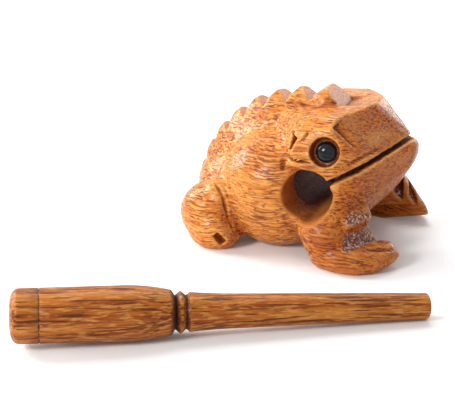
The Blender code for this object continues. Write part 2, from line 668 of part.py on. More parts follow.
def striker():
    outline = striker_profile()
    profile = [(radius, -distance) for radius, distance in outline]
    profile.reverse()
    stick = turned("striker", profile, STRIKER_SIDES, PARTS)
    tip = SHAFT_TIP_DIAMETER / 2
    tip_at = STRIKER_LENGTH - SHAFT_TIP_ROUND
    handle = [(radius, distance) for radius, distance in outline if distance < HANDLE_LENGTH]
    slope, bulge, bulge_at = max(
        (atan2(radius - tip, tip_at - distance), radius, distance) for radius, distance in handle)
    heading = radians(STRIKER_HEADING_DEGREES)
    along = Vector((cos(heading) * cos(slope), sin(heading) * cos(slope), -sin(slope)))
    down = Vector((-cos(heading) * sin(slope), -sin(heading) * sin(slope), -cos(slope)))
    frame = facing((0, 0, 0), -along, down)
    contact = frame @ Vector((bulge, 0, -bulge_at))
    frame.translation = Vector((*STRIKER_END, 0)) - Vector((0, 0, contact.z))
    stick.matrix_world = frame
    return stick


for leftover in list(bpy.data.objects):
    bpy.data.objects.remove(leftover)
PARTS = collection("frog_guiro")
CUTTERS = collection("cutters")

body = rough_frog()
skin = BVHTree.FromObject(body, bpy.context.evaluated_depsgraph_get())
tools = [floor_cut(), bore_cut(), chamber_cut(), mouth_cut()]
tools += [plane_cut("snout_facet", SNOUT_FACET_POINT, SNOUT_FACET_NORMAL)]
for side, word in ((-1, "right"), (1, "left")):
    normal = on_side(SIDE_FACET_NORMAL, side)
    tools += [plane_cut("facet_" + word, on_side(SIDE_FACET_POINT, side), normal)]
    tools += side_chip_cuts(side, word, SIDE_CHIPS)
    seat = eye_frame(skin, side)
    tools += eye_socket_cut("eye_" + word, seat)
    bead = eye_bead("eye_" + word, seat)
    bead.data.materials.append(principled("eye_black_" + word, (0.012, 0.012, 0.014), 0.08))
tools += side_chip_cuts(-1, "right", RIGHT_TOE_CHIPS)
tools += [toe_cut(name, corners) for name, corners in LEFT_TOE_CUTS.items()]
for index in range(TOOTH_COUNT):
    tools += notch_cut(index)
carve(body, tools)
body.data.materials.append(principled("varnished_wood", (0.55, 0.23, 0.06), 0.35))
stick = striker()
stick.data.materials.append(principled("striker_wood", (0.50, 0.24, 0.07), 0.35))
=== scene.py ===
# The looks of the frog guiro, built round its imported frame: a carved and varnished
# frog, two glossy bead eyes and a turned striker, on a pale floor.
from collections import namedtuple
from math import atan2, cos, pi, radians, sin

import bmesh
import bpy
import numpy as np
from mathutils import Matrix, Vector
from mathutils.bvhtree import BVHTree


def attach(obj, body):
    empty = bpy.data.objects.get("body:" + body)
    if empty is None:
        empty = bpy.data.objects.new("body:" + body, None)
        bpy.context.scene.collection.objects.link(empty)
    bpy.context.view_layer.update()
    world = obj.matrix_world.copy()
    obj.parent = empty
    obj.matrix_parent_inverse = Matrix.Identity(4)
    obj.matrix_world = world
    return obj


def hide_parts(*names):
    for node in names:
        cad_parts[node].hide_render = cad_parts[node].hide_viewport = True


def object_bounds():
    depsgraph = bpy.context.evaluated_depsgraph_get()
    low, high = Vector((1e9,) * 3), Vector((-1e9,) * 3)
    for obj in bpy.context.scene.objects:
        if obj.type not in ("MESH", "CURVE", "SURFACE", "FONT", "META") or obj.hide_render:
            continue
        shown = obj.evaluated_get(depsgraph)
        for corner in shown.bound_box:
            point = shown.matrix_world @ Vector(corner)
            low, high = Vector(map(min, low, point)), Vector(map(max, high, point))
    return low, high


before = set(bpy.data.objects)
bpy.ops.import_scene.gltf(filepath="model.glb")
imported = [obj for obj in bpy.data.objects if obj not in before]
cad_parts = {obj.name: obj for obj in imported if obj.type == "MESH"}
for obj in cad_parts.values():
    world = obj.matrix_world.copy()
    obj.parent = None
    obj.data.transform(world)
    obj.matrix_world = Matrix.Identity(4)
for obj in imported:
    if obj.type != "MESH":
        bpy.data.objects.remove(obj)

SIDES = (-1, 1)
cad_box = [list(corner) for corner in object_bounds()]

# Frog, with the CAD part's values, in metres and degrees. Points with a side are those of the
# left one.
BACK_CENTRE_X = 0.006
BACK_CENTRE_Z = 0.011
BACK_RADIUS = 0.0486
BACK_HALF_WIDTH = 0.027
BACK_FRONT_CUT = (0.03, 0, 0.056)
BACK_FRONT_SLOPE = (-0.746, 0, 0.666)
BACK_LOWER_CUT = (0, 0, 0.0075)
# Section of the crest's rim: distance from the middle and rise above the back
CREST = [
    (0, 0.0054), (0.002, 0.0051), (0.004, 0.004), (0.006, 0.002), (0.008, -0.0004),
    (0.01, -0.0029), (0.0125, -0.0059), (0.015, -0.009),
]
TOOTH_RISE = 0.0053
TOOTH_COUNT = 9
TOOTH_PITCH = 12.1
FIRST_TOOTH = 83.0
FRONT_TOOTH_EXTRA = 0.0024
FRONT_TOOTH_SIZE = (0.0084, 0.01)
# Notches: degrees ahead of the tooth, depth, reach, half widths at the bottom and the top,
# and the degrees that the chipped and the steep wall lean
Notch = namedtuple("Notch", "ahead depth reach low high chip wall")
NOTCH = Notch(3.4, 0.005, 0.014, 0.01, 0.01, 123.0, 56.0)
FRONT_NOTCH = Notch(9.1, 0.0066, 0.02, 0.0065, 0.015, 137.0, 22.0)
SLOPE_START = 0.003
SLOPE_DEGREES = (20.0, 80.0)
NOTCH_SET_BACK = (1.1, 0.0004)
# Shares of a tooth's turn round the back that its chip, its wall and its slope follow
CHIP_TURN = 0.35
WALL_TURN = 0.75
SLOPE_TURN = 0.95
ELLIPSOIDS = {
    "belly": ((-0.004, 0, 0.022), (0.036, 0.026, 0.0232)),
    "rump": ((-0.028, 0, 0.018), (0.0185, 0.021, 0.019)),
}
SIDE_ELLIPSOIDS = {
    "neck": ((0.002, 0.018, 0.0405), (0.012, 0.011, 0.0102)),
    "flank": ((-0.0045, 0.016, 0.024), (0.026, 0.0205, 0.025)),
    "haunch": ((-0.0312, 0.0262, 0.013), (0.0134, 0.012, 0.0136)),
    "thigh": ((-0.0268, 0.0272, 0.0165), (0.0095, 0.01, 0.0128)),
    "hind_foot": ((-0.0278, 0.03, 0.0078), (0.0122, 0.0104, 0.0098)),
}
# Shoulder, elbow and ankle: centre and radius
LEG_BALLS = [
    ((0.02, 0.0195, 0.027), 0.012), ((0.019, 0.03, 0.015), 0.0102),
    ((0.022, 0.031, 0.012), 0.0108),
]
# Corners of the blocks that the head, the jaw and the feet are carved from
HEAD = [
    (0.0335, 0.006, 0.0625), (0.0227, 0.0248, 0.06), (0.01, 0.024, 0.059),
    (0.0233, 0.0295, 0.0572), (0.007, 0.03, 0.053), (0.0456, 0.0045, 0.0496),
    (0.048, 0.0035, 0.0484), (0.045, 0.0105, 0.0468), (0.0385, 0.0205, 0.044),
    (0.0334, 0.0275, 0.042), (0.024, 0.0325, 0.037), (0.005, 0.0325, 0.04), (0, 0.02, 0.05),
    (0.015, 0.033, 0.045), (-0.004, 0.01, 0.056), (-0.006, 0.016, 0.0508),
]
JAW = [
    (0.05, 0.003, 0.0475), (0.047, 0.011, 0.046), (0.04, 0.0215, 0.0412),
    (0.0345, 0.029, 0.0395), (0.025, 0.034, 0.035), (0.0502, 0.003, 0.041),
    (0.0452, 0.004, 0.0315), (0.041, 0.015, 0.03), (0.035, 0.024, 0.026), (0.0375, 0.004, 0.02),
    (0.031, 0.004, 0.0135), (0.03, 0.02, 0.015), (0.028, 0.03, 0.023), (0, 0.027, 0.02),
    (0, 0.01, 0.01), (0.01, 0.034, 0.036), (0.049, 0.0035, 0.037), (0.0422, 0.004, 0.0255),
]
SOLE = [
    (0.013, 0.037, 0.0125), (0.014, 0.03, 0.012), (0.019, 0.0425, 0.005),
    (0.0215, 0.027, -0.0012), (0.027, 0.0428, -0.0008), (0.0338, 0.0434, -0.001),
    (0.0418, 0.0402, -0.0002), (0.0478, 0.035, 0.0012), (0.052, 0.0255, 0.0048),
    (0.03, 0.025, 0), (0.045, 0.024, 0.0042),
]
ARM = [
    (0.02, 0.018, 0.027), (0.02, 0.032, 0.026), (0.018, 0.02, 0.015), (0.018, 0.035, 0.015),
]
RIGHT_LOW_STEP = [
    (0.0372, 0.0225, 0.0149), (0.0341, 0.03, 0.0152), (0.0313, 0.0345, 0.0143),
    (0.029, 0.0365, 0.0124), (0.0412, 0.0235, 0.0096), (0.0333, 0.0345, 0.0088),
    (0.02, 0.02, 0.005), (0.02, 0.036, 0.005), (0.0356, 0.022, 0.018), (0.03, 0.0325, 0.018),
]
RIGHT_HIGH_STEP = [
    (0.0382, 0.0232, 0.0218), (0.0386, 0.0242, 0.019), (0.038, 0.0236, 0.017),
    (0.0316, 0.0358, 0.0186), (0.0308, 0.0352, 0.0162), (0.0355, 0.0205, 0.025),
    (0.0288, 0.034, 0.0222),
]
LEFT_TOES = [
    (0.029, 0.0385, 0.0105), (0.0378, 0.0345, 0.019), (0.0415, 0.0345, 0.014),
    (0.0447, 0.0335, 0.0101), (0.0486, 0.03, 0.0072), (0.0386, 0.0312, 0.0203),
    (0.0421, 0.0312, 0.0152), (0.0457, 0.0305, 0.0109), (0.0393, 0.0262, 0.0207),
    (0.0428, 0.0275, 0.0163), (0.0463, 0.0275, 0.0119), (0.0498, 0.0262, 0.0088),
    (0.0402, 0.0238, 0.0185), (0.0443, 0.0238, 0.013), (0.048, 0.0238, 0.01),
    (0.0506, 0.0245, 0.008),
]
LEFT_LOW_STEP = [
    (0.0426, 0.027, 0.0166), (0.0376, 0.032, 0.0196), (0.0406, 0.0242, 0.0196),
    (0.0398, 0.024, 0.009), (0.028, 0.037, 0.013), (0.02, 0.02, 0.005), (0.02, 0.036, 0.005),
]
LEFT_HIGH_STEP = [
    (0.039, 0.0265, 0.021), (0.0345, 0.0345, 0.0206), (0.0378, 0.0255, 0.0165),
    (0.0325, 0.0345, 0.0165),
]
FEET = {
    -1: [RIGHT_LOW_STEP, RIGHT_HIGH_STEP + ARM],
    1: [SOLE + LEFT_TOES, LEFT_LOW_STEP, LEFT_HIGH_STEP + ARM],
}
RIGHT_FOOT_BALLS = [
    ((0.0225, 0.035, 0.0056), 0.0066), ((0.0285, 0.0375, 0.005), 0.0057),
    ((0.0355, 0.0374, 0.0046), 0.0053), ((0.0415, 0.034, 0.0046), 0.0049),
    ((0.0466, 0.0292, 0.0053), 0.0036), ((0.05, 0.026, 0.0058), 0.0014),
    ((0.0455, 0.0245, 0.0078), 0.0029), ((0.03, 0.028, 0.0045), 0.005),
]
# Flat cuts: a point and the way the flat faces
SIDE_FACET = ((0.0335, 0.006, 0.0622), (0.685, 0.468, 0.559))
SNOUT_FACET = ((0.0432, 0, 0.0538), (0.715, 0, 0.699))
SNOUT_EDGE = ((0.0432, 0.0018, 0.0538), (0.7217, 0.2412, 0.6495))
SNOUT_EDGE_DEPTH = 0.0007
# Chips: start, end, the way the skin faces, then width and depth at the start and the end,
# and for some the lean of the bottom and the rise of the walls
SIDE_CHIPS = {
    "brow": ((0.0232, 0.0249, 0.0582), (0.0331, 0.0247, 0.0468), (0.685, 0.468, 0.559),
             (0.0047, 0.002), (0.0008, 0.0003), 0.8),
    "temple": ((0.0069, 0.0282, 0.0518), (0.0045, 0.0296, 0.046), (-0.3, 0.86, 0.35),
               (0.003, 0.0034), (0.0014, 0.0012)),
    "cheek": ((0.0024, 0.0307, 0.0424), (0.0029, 0.0318, 0.0376), (0.02, 0.84, 0.52),
              (0.0056, 0.0026), (0.001, 0.001)),
    "ledge": ((0.0015, 0.0292, 0.0429), (0.0152, 0.033, 0.0424), (-0.05, 0.92, 0.38),
              (0.0018, 0.0012), (0.0014, 0.0009)),
    "hind_toe": ((-0.0238, 0.0398, 0.0086), (-0.0208, 0.0378, 0.004), (0.4, 0.9, 0),
                 (0.0034, 0.0032), (0.0044, 0.0038)),
    "ledge_front": ((0.0152, 0.033, 0.0424), (0.0188, 0.033, 0.04), (0, 0.98, 0.15),
                    (0.0014, 0.0009), (0.0008, 0.0004)),
    "temple_hook": ((0.0038, 0.0262, 0.053), (0.007, 0.0281, 0.0516), (-0.1, 0.75, 0.62),
                    (0.001, 0.0006), (0.0018, 0.0014)),
    "temple_groove": ((0.0124, 0.03, 0.0545), (0.0106, 0.0312, 0.0508), (0, 0.95, 0.31),
                      (0.0026, 0.0014), (0.0016, 0.001)),
    "lip_rear": ((0.0287, 0.0298, 0.0421), (0.0337, 0.0255, 0.045), (0.6, 0.76, 0.25),
                 (0.0008, 0.0003), (0.0026, 0.0012), 0, 2.0),
    "lip_front": ((0.0337, 0.0255, 0.045), (0.0378, 0.0178, 0.0468), (0.75, 0.58, 0.3),
                  (0.0026, 0.0012), (0.0008, 0.0003), 0, 2.0),
    "crease_top": ((-0.0281, 0.0308, 0.0282), (-0.0227, 0.0341, 0.0238), (0.2, 0.65, 0.72),
                   (0.0008, 0.0004), (0.0016, 0.0012)),
    "crease_mid": ((-0.0227, 0.0341, 0.0238), (-0.0206, 0.0348, 0.0172), (0.55, 0.78, 0.25),
                   (0.0016, 0.0012), (0.002, 0.0016)),
    "crease_low": ((-0.0206, 0.0348, 0.0172), (-0.0176, 0.035, 0.01), (0.72, 0.66, 0.15),
                   (0.002, 0.0016), (0.0014, 0.001)),
}
RIGHT_TOE_CHIPS = {
    "toe_groove": ((0.0362, 0.033, 0.0104), (0.042, 0.0215, 0.0106), (0.3, 0.2, 0.93),
                   (0.0006, 0.0003), (0.0024, 0.0016), 0, 2.0),
    "lens_rear": ((0.0383, 0.0357, 0.0097), (0.0434, 0.032, 0.0094), (0.15, 0.3, 0.94),
                  (0.0004, 0.0003), (0.003, 0.0022), 0, 2.0),
    "lens_front": ((0.0434, 0.032, 0.0094), (0.0489, 0.0278, 0.0081), (0.15, 0.3, 0.94),
                   (0.003, 0.0022), (0.0004, 0.0003), 0, 2.0),
}
# Corners of the two V cuts between the left toes
LEFT_TOE_CUTS = {
    "inner_v": [
        (0.0404, 0.022, 0.0083), (0.0349, 0.022, 0.0137), (0.0349, 0.022, 0.0195),
        (0.04, 0.022, 0.0225), (0.0376, 0.031, 0.0153), (0.0371, 0.031, 0.019),
        (0.0371, 0.031, 0.023), (0.038, 0.031, 0.023),
    ],
    "outer_v": [
        (0.0481, 0.022, 0.0066), (0.043, 0.022, 0.0116), (0.043, 0.022, 0.018),
        (0.0486, 0.022, 0.015), (0.0402, 0.031, 0.0156), (0.0397, 0.031, 0.0175),
        (0.0397, 0.031, 0.022), (0.041, 0.031, 0.022),
    ],
}
LEFT_BROW_CHIP = ((0.0215, 0.0215, 0.0606), (0.03, 0.0225, 0.0578), (0.3, 0.45, 0.84),
                  (0.0044, 0.0018), (0.0016, 0.0008))
MOUTH_LIP = (0.0477, 0.0482)
MOUTH_CLIMB = 27.5
MOUTH_CUT = 0.002
BORE = (0.0137, 0.0286)
BORE_RADIUS = 0.01035
CHAMBER = (0.011, 0.0313)
CHAMBER_RADIUS = 0.013
CHAMBER_HALF_LENGTH = 0.0195
CHAMBER_EDGE = 0.005

# Cutters, and how far they run past what they cut
FLAT_CUTTER = (0.08, 0.08, 0.03)
FLOOR_CUTTER = (0.16, 0.16, 0.02)
THROUGH = 0.12
MOUTH_OVERRUN = 0.01
RING_OVERRUN = 0.006
PEG_OVERRUN = 0.001

# Eyes
EYE = (0.0198, 0.0473)
EYE_RADIUS = 0.00435
EYE_DOME = 0.0034
EYE_PEG = (0.002, 0.005)
EYE_SINK = 0.0034
EYE_RING = 0.0019
EYE_LIFT = 12.0
GLUE_GAP = 0.0003

# Striker
LENGTH = 0.152
HANDLE = 0.057
BULGE_AT = 0.04
DOME = 0.0034
BULGE = 0.01005
END = 0.00975
NECK = 0.0081
GROOVE = 0.0061
GROOVE_SHIFT = 0.0002
BEAD = 0.0076
BEAD_AT = 0.0601
BEAD_HALF = 0.0005
COLLAR = 0.006
SHOULDER_RADIUS = 0.0071
WAIST = 0.0062
WAIST_AFTER = 0.021
WAIST_SWEEP = 1.8
TIP = 0.0049
TIP_ROUND = 0.0012
SCRIBE_AT = 0.0103
SCRIBE_HALF = 0.00045
SCRIBE_DEPTH = 0.0003
EDGE = 0.0005
BREAK = 0.0003
HEADING = 30.7
STRIKER_END = (-0.0585, -0.1435)
BURNT_GROOVES = (0.0585, 0.0618)
BURN_HALF = 0.0009
BURN_RADIUS = 0.0068
SCRIBE_BURN = 0.7
HANDLE_BURN = 0.8

# Steps of the striker's outline
TIP_STEPS, SHAFT_STEPS, WAIST_STEPS, HANDLE_STEPS, DOME_STEPS = 8, 20, 24, 30, 16

# Surface of the carving: sizes of the remeshing and passes of smoothing
SOFT_VOXEL = 0.0009
SOFT_PASSES = 8
BLOCK_VOXEL = 0.0006
BLOCK_PASSES = 9
CARVED_VOXEL = 0.00045
CARVED_PASSES = 5
FINISH_PASSES = 2
MOST_TRIANGLES = 190000

# Tool marks: height and wavelengths along x, y and z
GOUGES = (
    (0.00016, (0.009, 0.0055, 0.0055)), (0.00008, (0.0045, 0.0022, 0.0022)),
    (0.00003, (0.005, 0.0011, 0.0009)),
)
PECK_HEIGHT = 0.00018
PECK_SIZE = 0.001
CHIP_PECKS = 0.4
TORN_SIZES = (0.0032, 0.0016, 0.0016)
TORN_CHAMBER = 0.00042
TORN_BORE = 0.00016

# Masks on the carving: each pair goes from none at the first value to all at the second
CHAMBER_MASK = {"side": (0.0202, 0.018), "wall": (0.015, 0.014)}
BORE_WALL = (0.0118, 0.0106)
CREST_MASK = {"foot": (0.0478, 0.049), "side": (0.0112, 0.01), "front": (0.0225, 0.0205)}
CHIP_MATCH = (0.93, 0.985)
ABOVE_GROUND = (0.0002, 0.0012)
SLOT_EDGE = 0.0003
SLOT_REAR = 0.004
# Share of painted shade in the mouth slot
SLOT_SHADE_SHARE = 0.8
# Depths below the smoothed skin and below the skin before the last cuts, over which creases and
# cuts take painted shade
CREASE_DEPTHS = (0.00025, 0.0012)
CUT_DEPTHS = (0.0003, 0.0016)
# Local smoothing that finds hollows, for painted shade, and ridges, for a painted highlight with
# some wear
HOLLOW_SPAN = 0.0009
HOLLOW_PASSES = 14
WIDE_PASSES = 70
# Faces turned forward are darker: partly end grain under varnish, partly painted shade on the side
# away from the lamps
END_GRAIN_AND_SHADE = {"front": (0.2, 0.62), "top": (0.72, 0.62)}
END_GRAIN_SHADE_SHARE = 0.95
# Painted shade on the low front: the jaw, the arms and the feet
LOW_FRONT_SHADE = {"height": (0.032, 0.014), "rear": (0.006, 0.02)}
LOW_FRONT_SHADE_SHARE = 0.85
# Painted shade on the left front foot, which lies in the head's shadow
LEFT_FOOT_SHADE_TOP = (0.026, 0.022)
LOWER_STEP_TOE = (0.05, 0.0488)
TOE_WAY = (0.84, -0.54)
# Boxes: low and high bound and softness, for each direction
# Where the left front foot takes painted shade
LEFT_FOOT_SHADE = {"x": (0.03, 0.06, 0.002), "y": (0.018, 0.05, 0.002)}
UPPER_STEP = {"z": (0.0178, 0.0222, 0.0006)}
LOWER_STEP = {"z": (0.0088, 0.0152, 0.0005)}
RIGHT_STEPS = {"x": (0.0305, 0.041, 0.0005), "y": (-0.0402, -0.0205, 0.0005)}
LEFT_STEP = {
    "x": (0.0335, 0.05, 0.0004), "y": (0.0225, 0.0345, 0.0004), "z": (0.0068, 0.023, 0.0004),
}
# The way that the pecked steps face, and how well a normal has to match
UPPER_WAY = ((0.7, -0.52, 0.5), 0.8, 0.9)
LOWER_WAY = ((0.72, -0.45, 0.53), 0.55, 0.7)
LEFT_WAY = ((0.68, -0.24, 0.69), 0.84, 0.94)


def link(made):
    bpy.context.scene.collection.objects.link(made)
    return made


def from_bmesh(name, bm):
    mesh = bpy.data.meshes.new(name)
    bm.to_mesh(mesh)
    bm.free()
    return link(bpy.data.objects.new(name, mesh))


def mesh_object(name, bm):
    bmesh.ops.recalc_face_normals(bm, faces=bm.faces)
    return from_bmesh(name, bm)


def add_modifier(target, kind, **settings):
    modifier = target.modifiers.new(kind.title(), kind)
    for name, value in settings.items():
        setattr(modifier, name, value)
    return modifier


def applied(target):
    """Bakes the modifiers of an object into its mesh."""
    depsgraph = bpy.context.evaluated_depsgraph_get()
    mesh = bpy.data.meshes.new_from_object(target.evaluated_get(depsgraph))
    target.modifiers.clear()
    target.data = mesh
    return target


def slanted(degrees):
    """A unit step in the plane of symmetry, at an angle above the way the frog faces."""
    return Vector((cos(radians(degrees)), 0, sin(radians(degrees))))


def on_side(point, side):
    return Vector((point[0], side * point[1], point[2]))


def add_ellipsoid(bm, centre, radii, fine=1):
    place = Matrix.Translation(centre) @ Matrix.Diagonal((*radii, 1.0))
    bmesh.ops.create_uvsphere(bm, u_segments=64 * fine, v_segments=32 * fine, radius=1.0,
                              matrix=place)


def add_back_piece(bm, piece):
    for point, normal in ((BACK_FRONT_CUT, BACK_FRONT_SLOPE), (BACK_LOWER_CUT, (0, 0, 1))):
        bmesh.ops.bisect_plane(piece, geom=piece.verts[:] + piece.edges[:] + piece.faces[:],
                               plane_co=point, plane_no=normal, clear_inner=True)
        bmesh.ops.holes_fill(piece, edges=[edge for edge in piece.edges if edge.is_boundary])
    mesh = bpy.data.meshes.new("back_piece")
    piece.to_mesh(mesh)
    piece.free()
    bm.from_mesh(mesh)
    bpy.data.meshes.remove(mesh)


def crest_point(angle, radius):
    return Vector((BACK_CENTRE_X + radius * cos(angle), 0, BACK_CENTRE_Z + radius * sin(angle)))


def crest_wheel(steps=240):
    """The crest before its notches: a wheel round the back's centre with a roof-shaped rim."""
    rim = [(-away, BACK_RADIUS + rise) for away, rise in reversed(CREST[1:])]
    rim += [(away, BACK_RADIUS + rise) for away, rise in CREST]
    piece = bmesh.new()
    rings = []
    for step in range(steps):
        turn = 2 * pi * step / steps
        rings.append([piece.verts.new(crest_point(turn, radius) + Vector((0, away, 0)))
                      for away, radius in rim])
    for step, here in enumerate(rings):
        there = rings[(step + 1) % steps]
        for place in range(len(rim) - 1):
            piece.faces.new((here[place], here[place + 1], there[place + 1], there[place]))
    piece.faces.new([ring[0] for ring in rings])
    piece.faces.new([ring[-1] for ring in reversed(rings)])
    bmesh.ops.recalc_face_normals(piece, faces=piece.faces)
    return piece


def add_hull(bm, points):
    corners = [bm.verts.new(point) for point in points]
    hull = bmesh.ops.convex_hull(bm, input=corners)
    loose = [item for item in hull["geom_interior"] if isinstance(item, bmesh.types.BMVert)]
    bmesh.ops.delete(bm, geom=loose, context="VERTS")


def add_ball_hull(bm, balls, side, rings=12, spokes=24):
    points = []
    for centre, radius in balls:
        for ring in range(rings + 1):
            for spoke in range(spokes):
                polar, turn = pi * ring / rings, 2 * pi * spoke / spokes
                step = Vector((sin(polar) * cos(turn), sin(polar) * sin(turn), cos(polar)))
                points.append(on_side(centre, side) + radius * step)
    add_hull(bm, points)


def facing(point, normal, along):
    """A place at the point, with Z along the normal and X as near to along as it can be."""
    z = Vector(normal).normalized()
    x = (Vector(along) - z * z.dot(Vector(along))).normalized()
    y = z.cross(x)
    made = Matrix((x, y, z)).transposed().to_4x4()
    made.translation = point
    return made


# Masses
def tooth_angle(index):
    return radians(FIRST_TOOTH + index * TOOTH_PITCH)


def tooth_top(index):
    return BACK_RADIUS + TOOTH_RISE + (FRONT_TOOTH_EXTRA if index == 0 else 0)


def soft_masses():
    bm, back = bmesh.new(), bmesh.new()
    radii = (BACK_RADIUS, BACK_HALF_WIDTH, BACK_RADIUS)
    add_ellipsoid(back, (BACK_CENTRE_X, 0, BACK_CENTRE_Z), radii, 2)
    add_back_piece(bm, back)
    for centre, radii in ELLIPSOIDS.values():
        add_ellipsoid(bm, centre, radii)
    for side in SIDES:
        for centre, radii in SIDE_ELLIPSOIDS.values():
            add_ellipsoid(bm, on_side(centre, side), radii)
        add_ball_hull(bm, LEG_BALLS, side)
    return bm


def block_masses():
    bm = bmesh.new()
    for corners in (HEAD, JAW):
        add_hull(bm, [on_side(point, side) for side in SIDES for point in corners])
    add_ball_hull(bm, RIGHT_FOOT_BALLS, -1)
    for side, hulls in FEET.items():
        for corners in hulls:
            add_hull(bm, [on_side(point, side) for point in corners])
    return bm


def crest():
    bm = bmesh.new()
    add_back_piece(bm, crest_wheel())
    rise = tooth_top(0) - BACK_RADIUS
    place = Matrix.Translation(crest_point(tooth_angle(0), BACK_RADIUS))
    place = place @ Matrix.Rotation(pi / 2 - tooth_angle(0), 4, "Y")
    place = place @ Matrix.Diagonal((*FRONT_TOOTH_SIZE, rise, 1))
    bmesh.ops.create_uvsphere(bm, u_segments=48, v_segments=24, radius=1.0, matrix=place)
    return bm


def sanded(name, bm, before, voxel, passes, cutters=()):
    """New masses joined to what is there before, cut, remeshed and smoothed."""
    bmesh.ops.recalc_face_normals(bm, faces=bm.faces)
    if before:
        bm.from_mesh(before.data)
        bpy.data.objects.remove(before)
    made = from_bmesh(name, bm)
    if cutters:
        add_modifier(made, "REMESH", mode="VOXEL", voxel_size=voxel)
        carve(made, cutters)
    add_modifier(made, "REMESH", mode="VOXEL", voxel_size=voxel)
    add_modifier(made, "SMOOTH", factor=0.5, iterations=passes)
    return applied(made)


# Cutters
def block(frame_at, size):
    bm = bmesh.new()
    bmesh.ops.create_cube(bm, size=1.0, matrix=frame_at @ Matrix.Diagonal((*size, 1.0)))
    return mesh_object("cutter", bm)


def plane_cut(point, normal):
    at = facing(point, normal, (0, 0, 1)) @ Matrix.Translation((0, 0, FLAT_CUTTER[2] / 2))
    return block(at, FLAT_CUTTER)


def floor_cut():
    return block(Matrix.Translation((0, 0, -FLOOR_CUTTER[2] / 2)), FLOOR_CUTTER)


def hull_cut(corners):
    bm = bmesh.new()
    add_hull(bm, corners)
    return mesh_object("cutter", bm)


def fan(foot, reach, leans, low, high):
    """A wedge from a line across the crest, between two leans in degrees."""
    points = [foot + Vector((0, side * low, 0)) for side in SIDES]
    for lean in leans:
        corner = foot + reach * slanted(lean)
        points += [corner + Vector((0, side * high, 0)) for side in SIDES]
    return hull_cut(points)


def notch_cuts(index, set_back=None):
    """The notch in front of a tooth; a set back one also slopes the back of the tooth ahead."""
    notch = NOTCH if index else FRONT_NOTCH
    turned_back = index * TOOTH_PITCH
    further, higher = set_back or (0, 0)
    valley = crest_point(tooth_angle(index) - radians(notch.ahead + further),
                         tooth_top(index) - notch.depth + higher)
    wall = notch.wall + WALL_TURN * turned_back
    leans = (notch.chip + CHIP_TURN * turned_back, wall)
    made = [fan(valley, notch.reach, leans, notch.low, notch.high)]
    if index and set_back:
        foot = valley + SLOPE_START * slanted(wall)
        leans = [degrees + SLOPE_TURN * turned_back for degrees in SLOPE_DEGREES]
        made.append(fan(foot, notch.reach, leans, notch.low, notch.high))
    return made


def chip_cut(side, start, end, faces, start_size, end_size, lean=0.0, rise=1.0):
    """A V that starts and ends in given widths and depths; lean makes one wall steeper."""
    start, end, faces = [on_side(vector, side) for vector in (start, end, faces)]
    faces.normalize()
    across = side * faces.cross((end - start).normalized()).normalized()
    points = []
    for point, (width, depth) in ((start, start_size), (end, end_size)):
        bottom = point + across * width * lean - faces * depth
        points.append(bottom)
        for sign in SIDES:
            top = point + faces * depth + sign * across * width
            points.append(bottom + (top - bottom) * (1 + rise) / 2)
    return hull_cut(points)


def cone(frame_at, radius_low, radius_high, height, segments=64):
    bm = bmesh.new()
    bmesh.ops.create_cone(bm, cap_ends=True, segments=segments, radius1=radius_low,
                          radius2=radius_high, depth=height, matrix=frame_at)
    return bm


def bore_cuts():
    place = Matrix.Translation((BORE[0], 0, BORE[1])) @ Matrix.Rotation(pi / 2, 4, "X")
    bore = mesh_object("cutter", cone(place, BORE_RADIUS, BORE_RADIUS, THROUGH))
    place.translation = (CHAMBER[0], 0, CHAMBER[1])
    bm = cone(place, CHAMBER_RADIUS, CHAMBER_RADIUS, 2 * CHAMBER_HALF_LENGTH)
    rims = [edge for edge in bm.edges if any(len(face.verts) > 4 for face in edge.link_faces)]
    bmesh.ops.bevel(bm, geom=rims, offset=CHAMBER_EDGE, segments=6, profile=0.5, affect="EDGES")
    return [bore, mesh_object("cutter", bm)]


def mouth_cut():
    climb = radians(MOUTH_CLIMB)
    forwards = slanted(MOUTH_CLIMB)
    lip = Vector((MOUTH_LIP[0], 0, MOUTH_LIP[1]))
    fall = (MOUTH_LIP[0] - BORE[0]) * sin(climb) / cos(climb)
    start = Vector((BORE[0], 0, MOUTH_LIP[1] - fall))
    end = lip + MOUTH_OVERRUN * forwards
    at = facing((start + end) / 2, (-sin(climb), 0, cos(climb)), forwards)
    return block(at, ((end - start).length, THROUGH, MOUTH_CUT))


def eye_frame(tree, side):
    out = Vector((0, side * cos(radians(EYE_LIFT)), sin(radians(EYE_LIFT))))
    skin = tree.ray_cast(Vector((EYE[0], side * 0.2, EYE[1])), Vector((0, -side, 0)))[0]
    return facing(skin - EYE_SINK * out, out, (1, 0, 0))


def eye_cuts(seat):
    low = EYE_RADIUS + 4 * GLUE_GAP
    slope = (EYE_RADIUS + EYE_RING - low) / EYE_SINK
    height = EYE_SINK + RING_OVERRUN
    ring = cone(seat @ Matrix.Translation((0, 0, height / 2)), low, low + slope * height, height)
    radius = EYE_PEG[0] + GLUE_GAP
    depth = EYE_PEG[1] + GLUE_GAP + PEG_OVERRUN
    middle = Matrix.Translation((0, 0, PEG_OVERRUN - depth / 2))
    hole = cone(seat @ middle, radius, radius, depth, 24)
    return [mesh_object("cutter", ring), mesh_object("cutter", hole)]


def carve(body, cutters):
    for cutter in cutters:
        add_modifier(body, "BOOLEAN", object=cutter, operation="DIFFERENCE", solver="MANIFOLD")
    applied(body)
    for cutter in cutters:
        bpy.data.objects.remove(cutter)


# Noise on points, for tool marks and torn grain
def lattice_noise(points, seed):
    """Smooth noise of about -1 to 1, one value for each point, with a wavelength of 1."""
    cell = np.floor(points).astype(np.int64)
    part = points - cell
    part = part * part * (3 - 2 * part)
    total = np.zeros(len(points))
    for corner in range(8):
        step = np.array([corner & 1, corner >> 1 & 1, corner >> 2 & 1])
        key = (cell + step) @ np.array([73856093, 19349663, 83492791]) + seed * 7919
        key = (key ^ key >> 13) * 1274126177
        value = ((key ^ key >> 16) & 0xFFFF) / 32767.5 - 1
        weight = np.prod(np.where(step, part, 1 - part), axis=1)
        total += weight * value
    return total


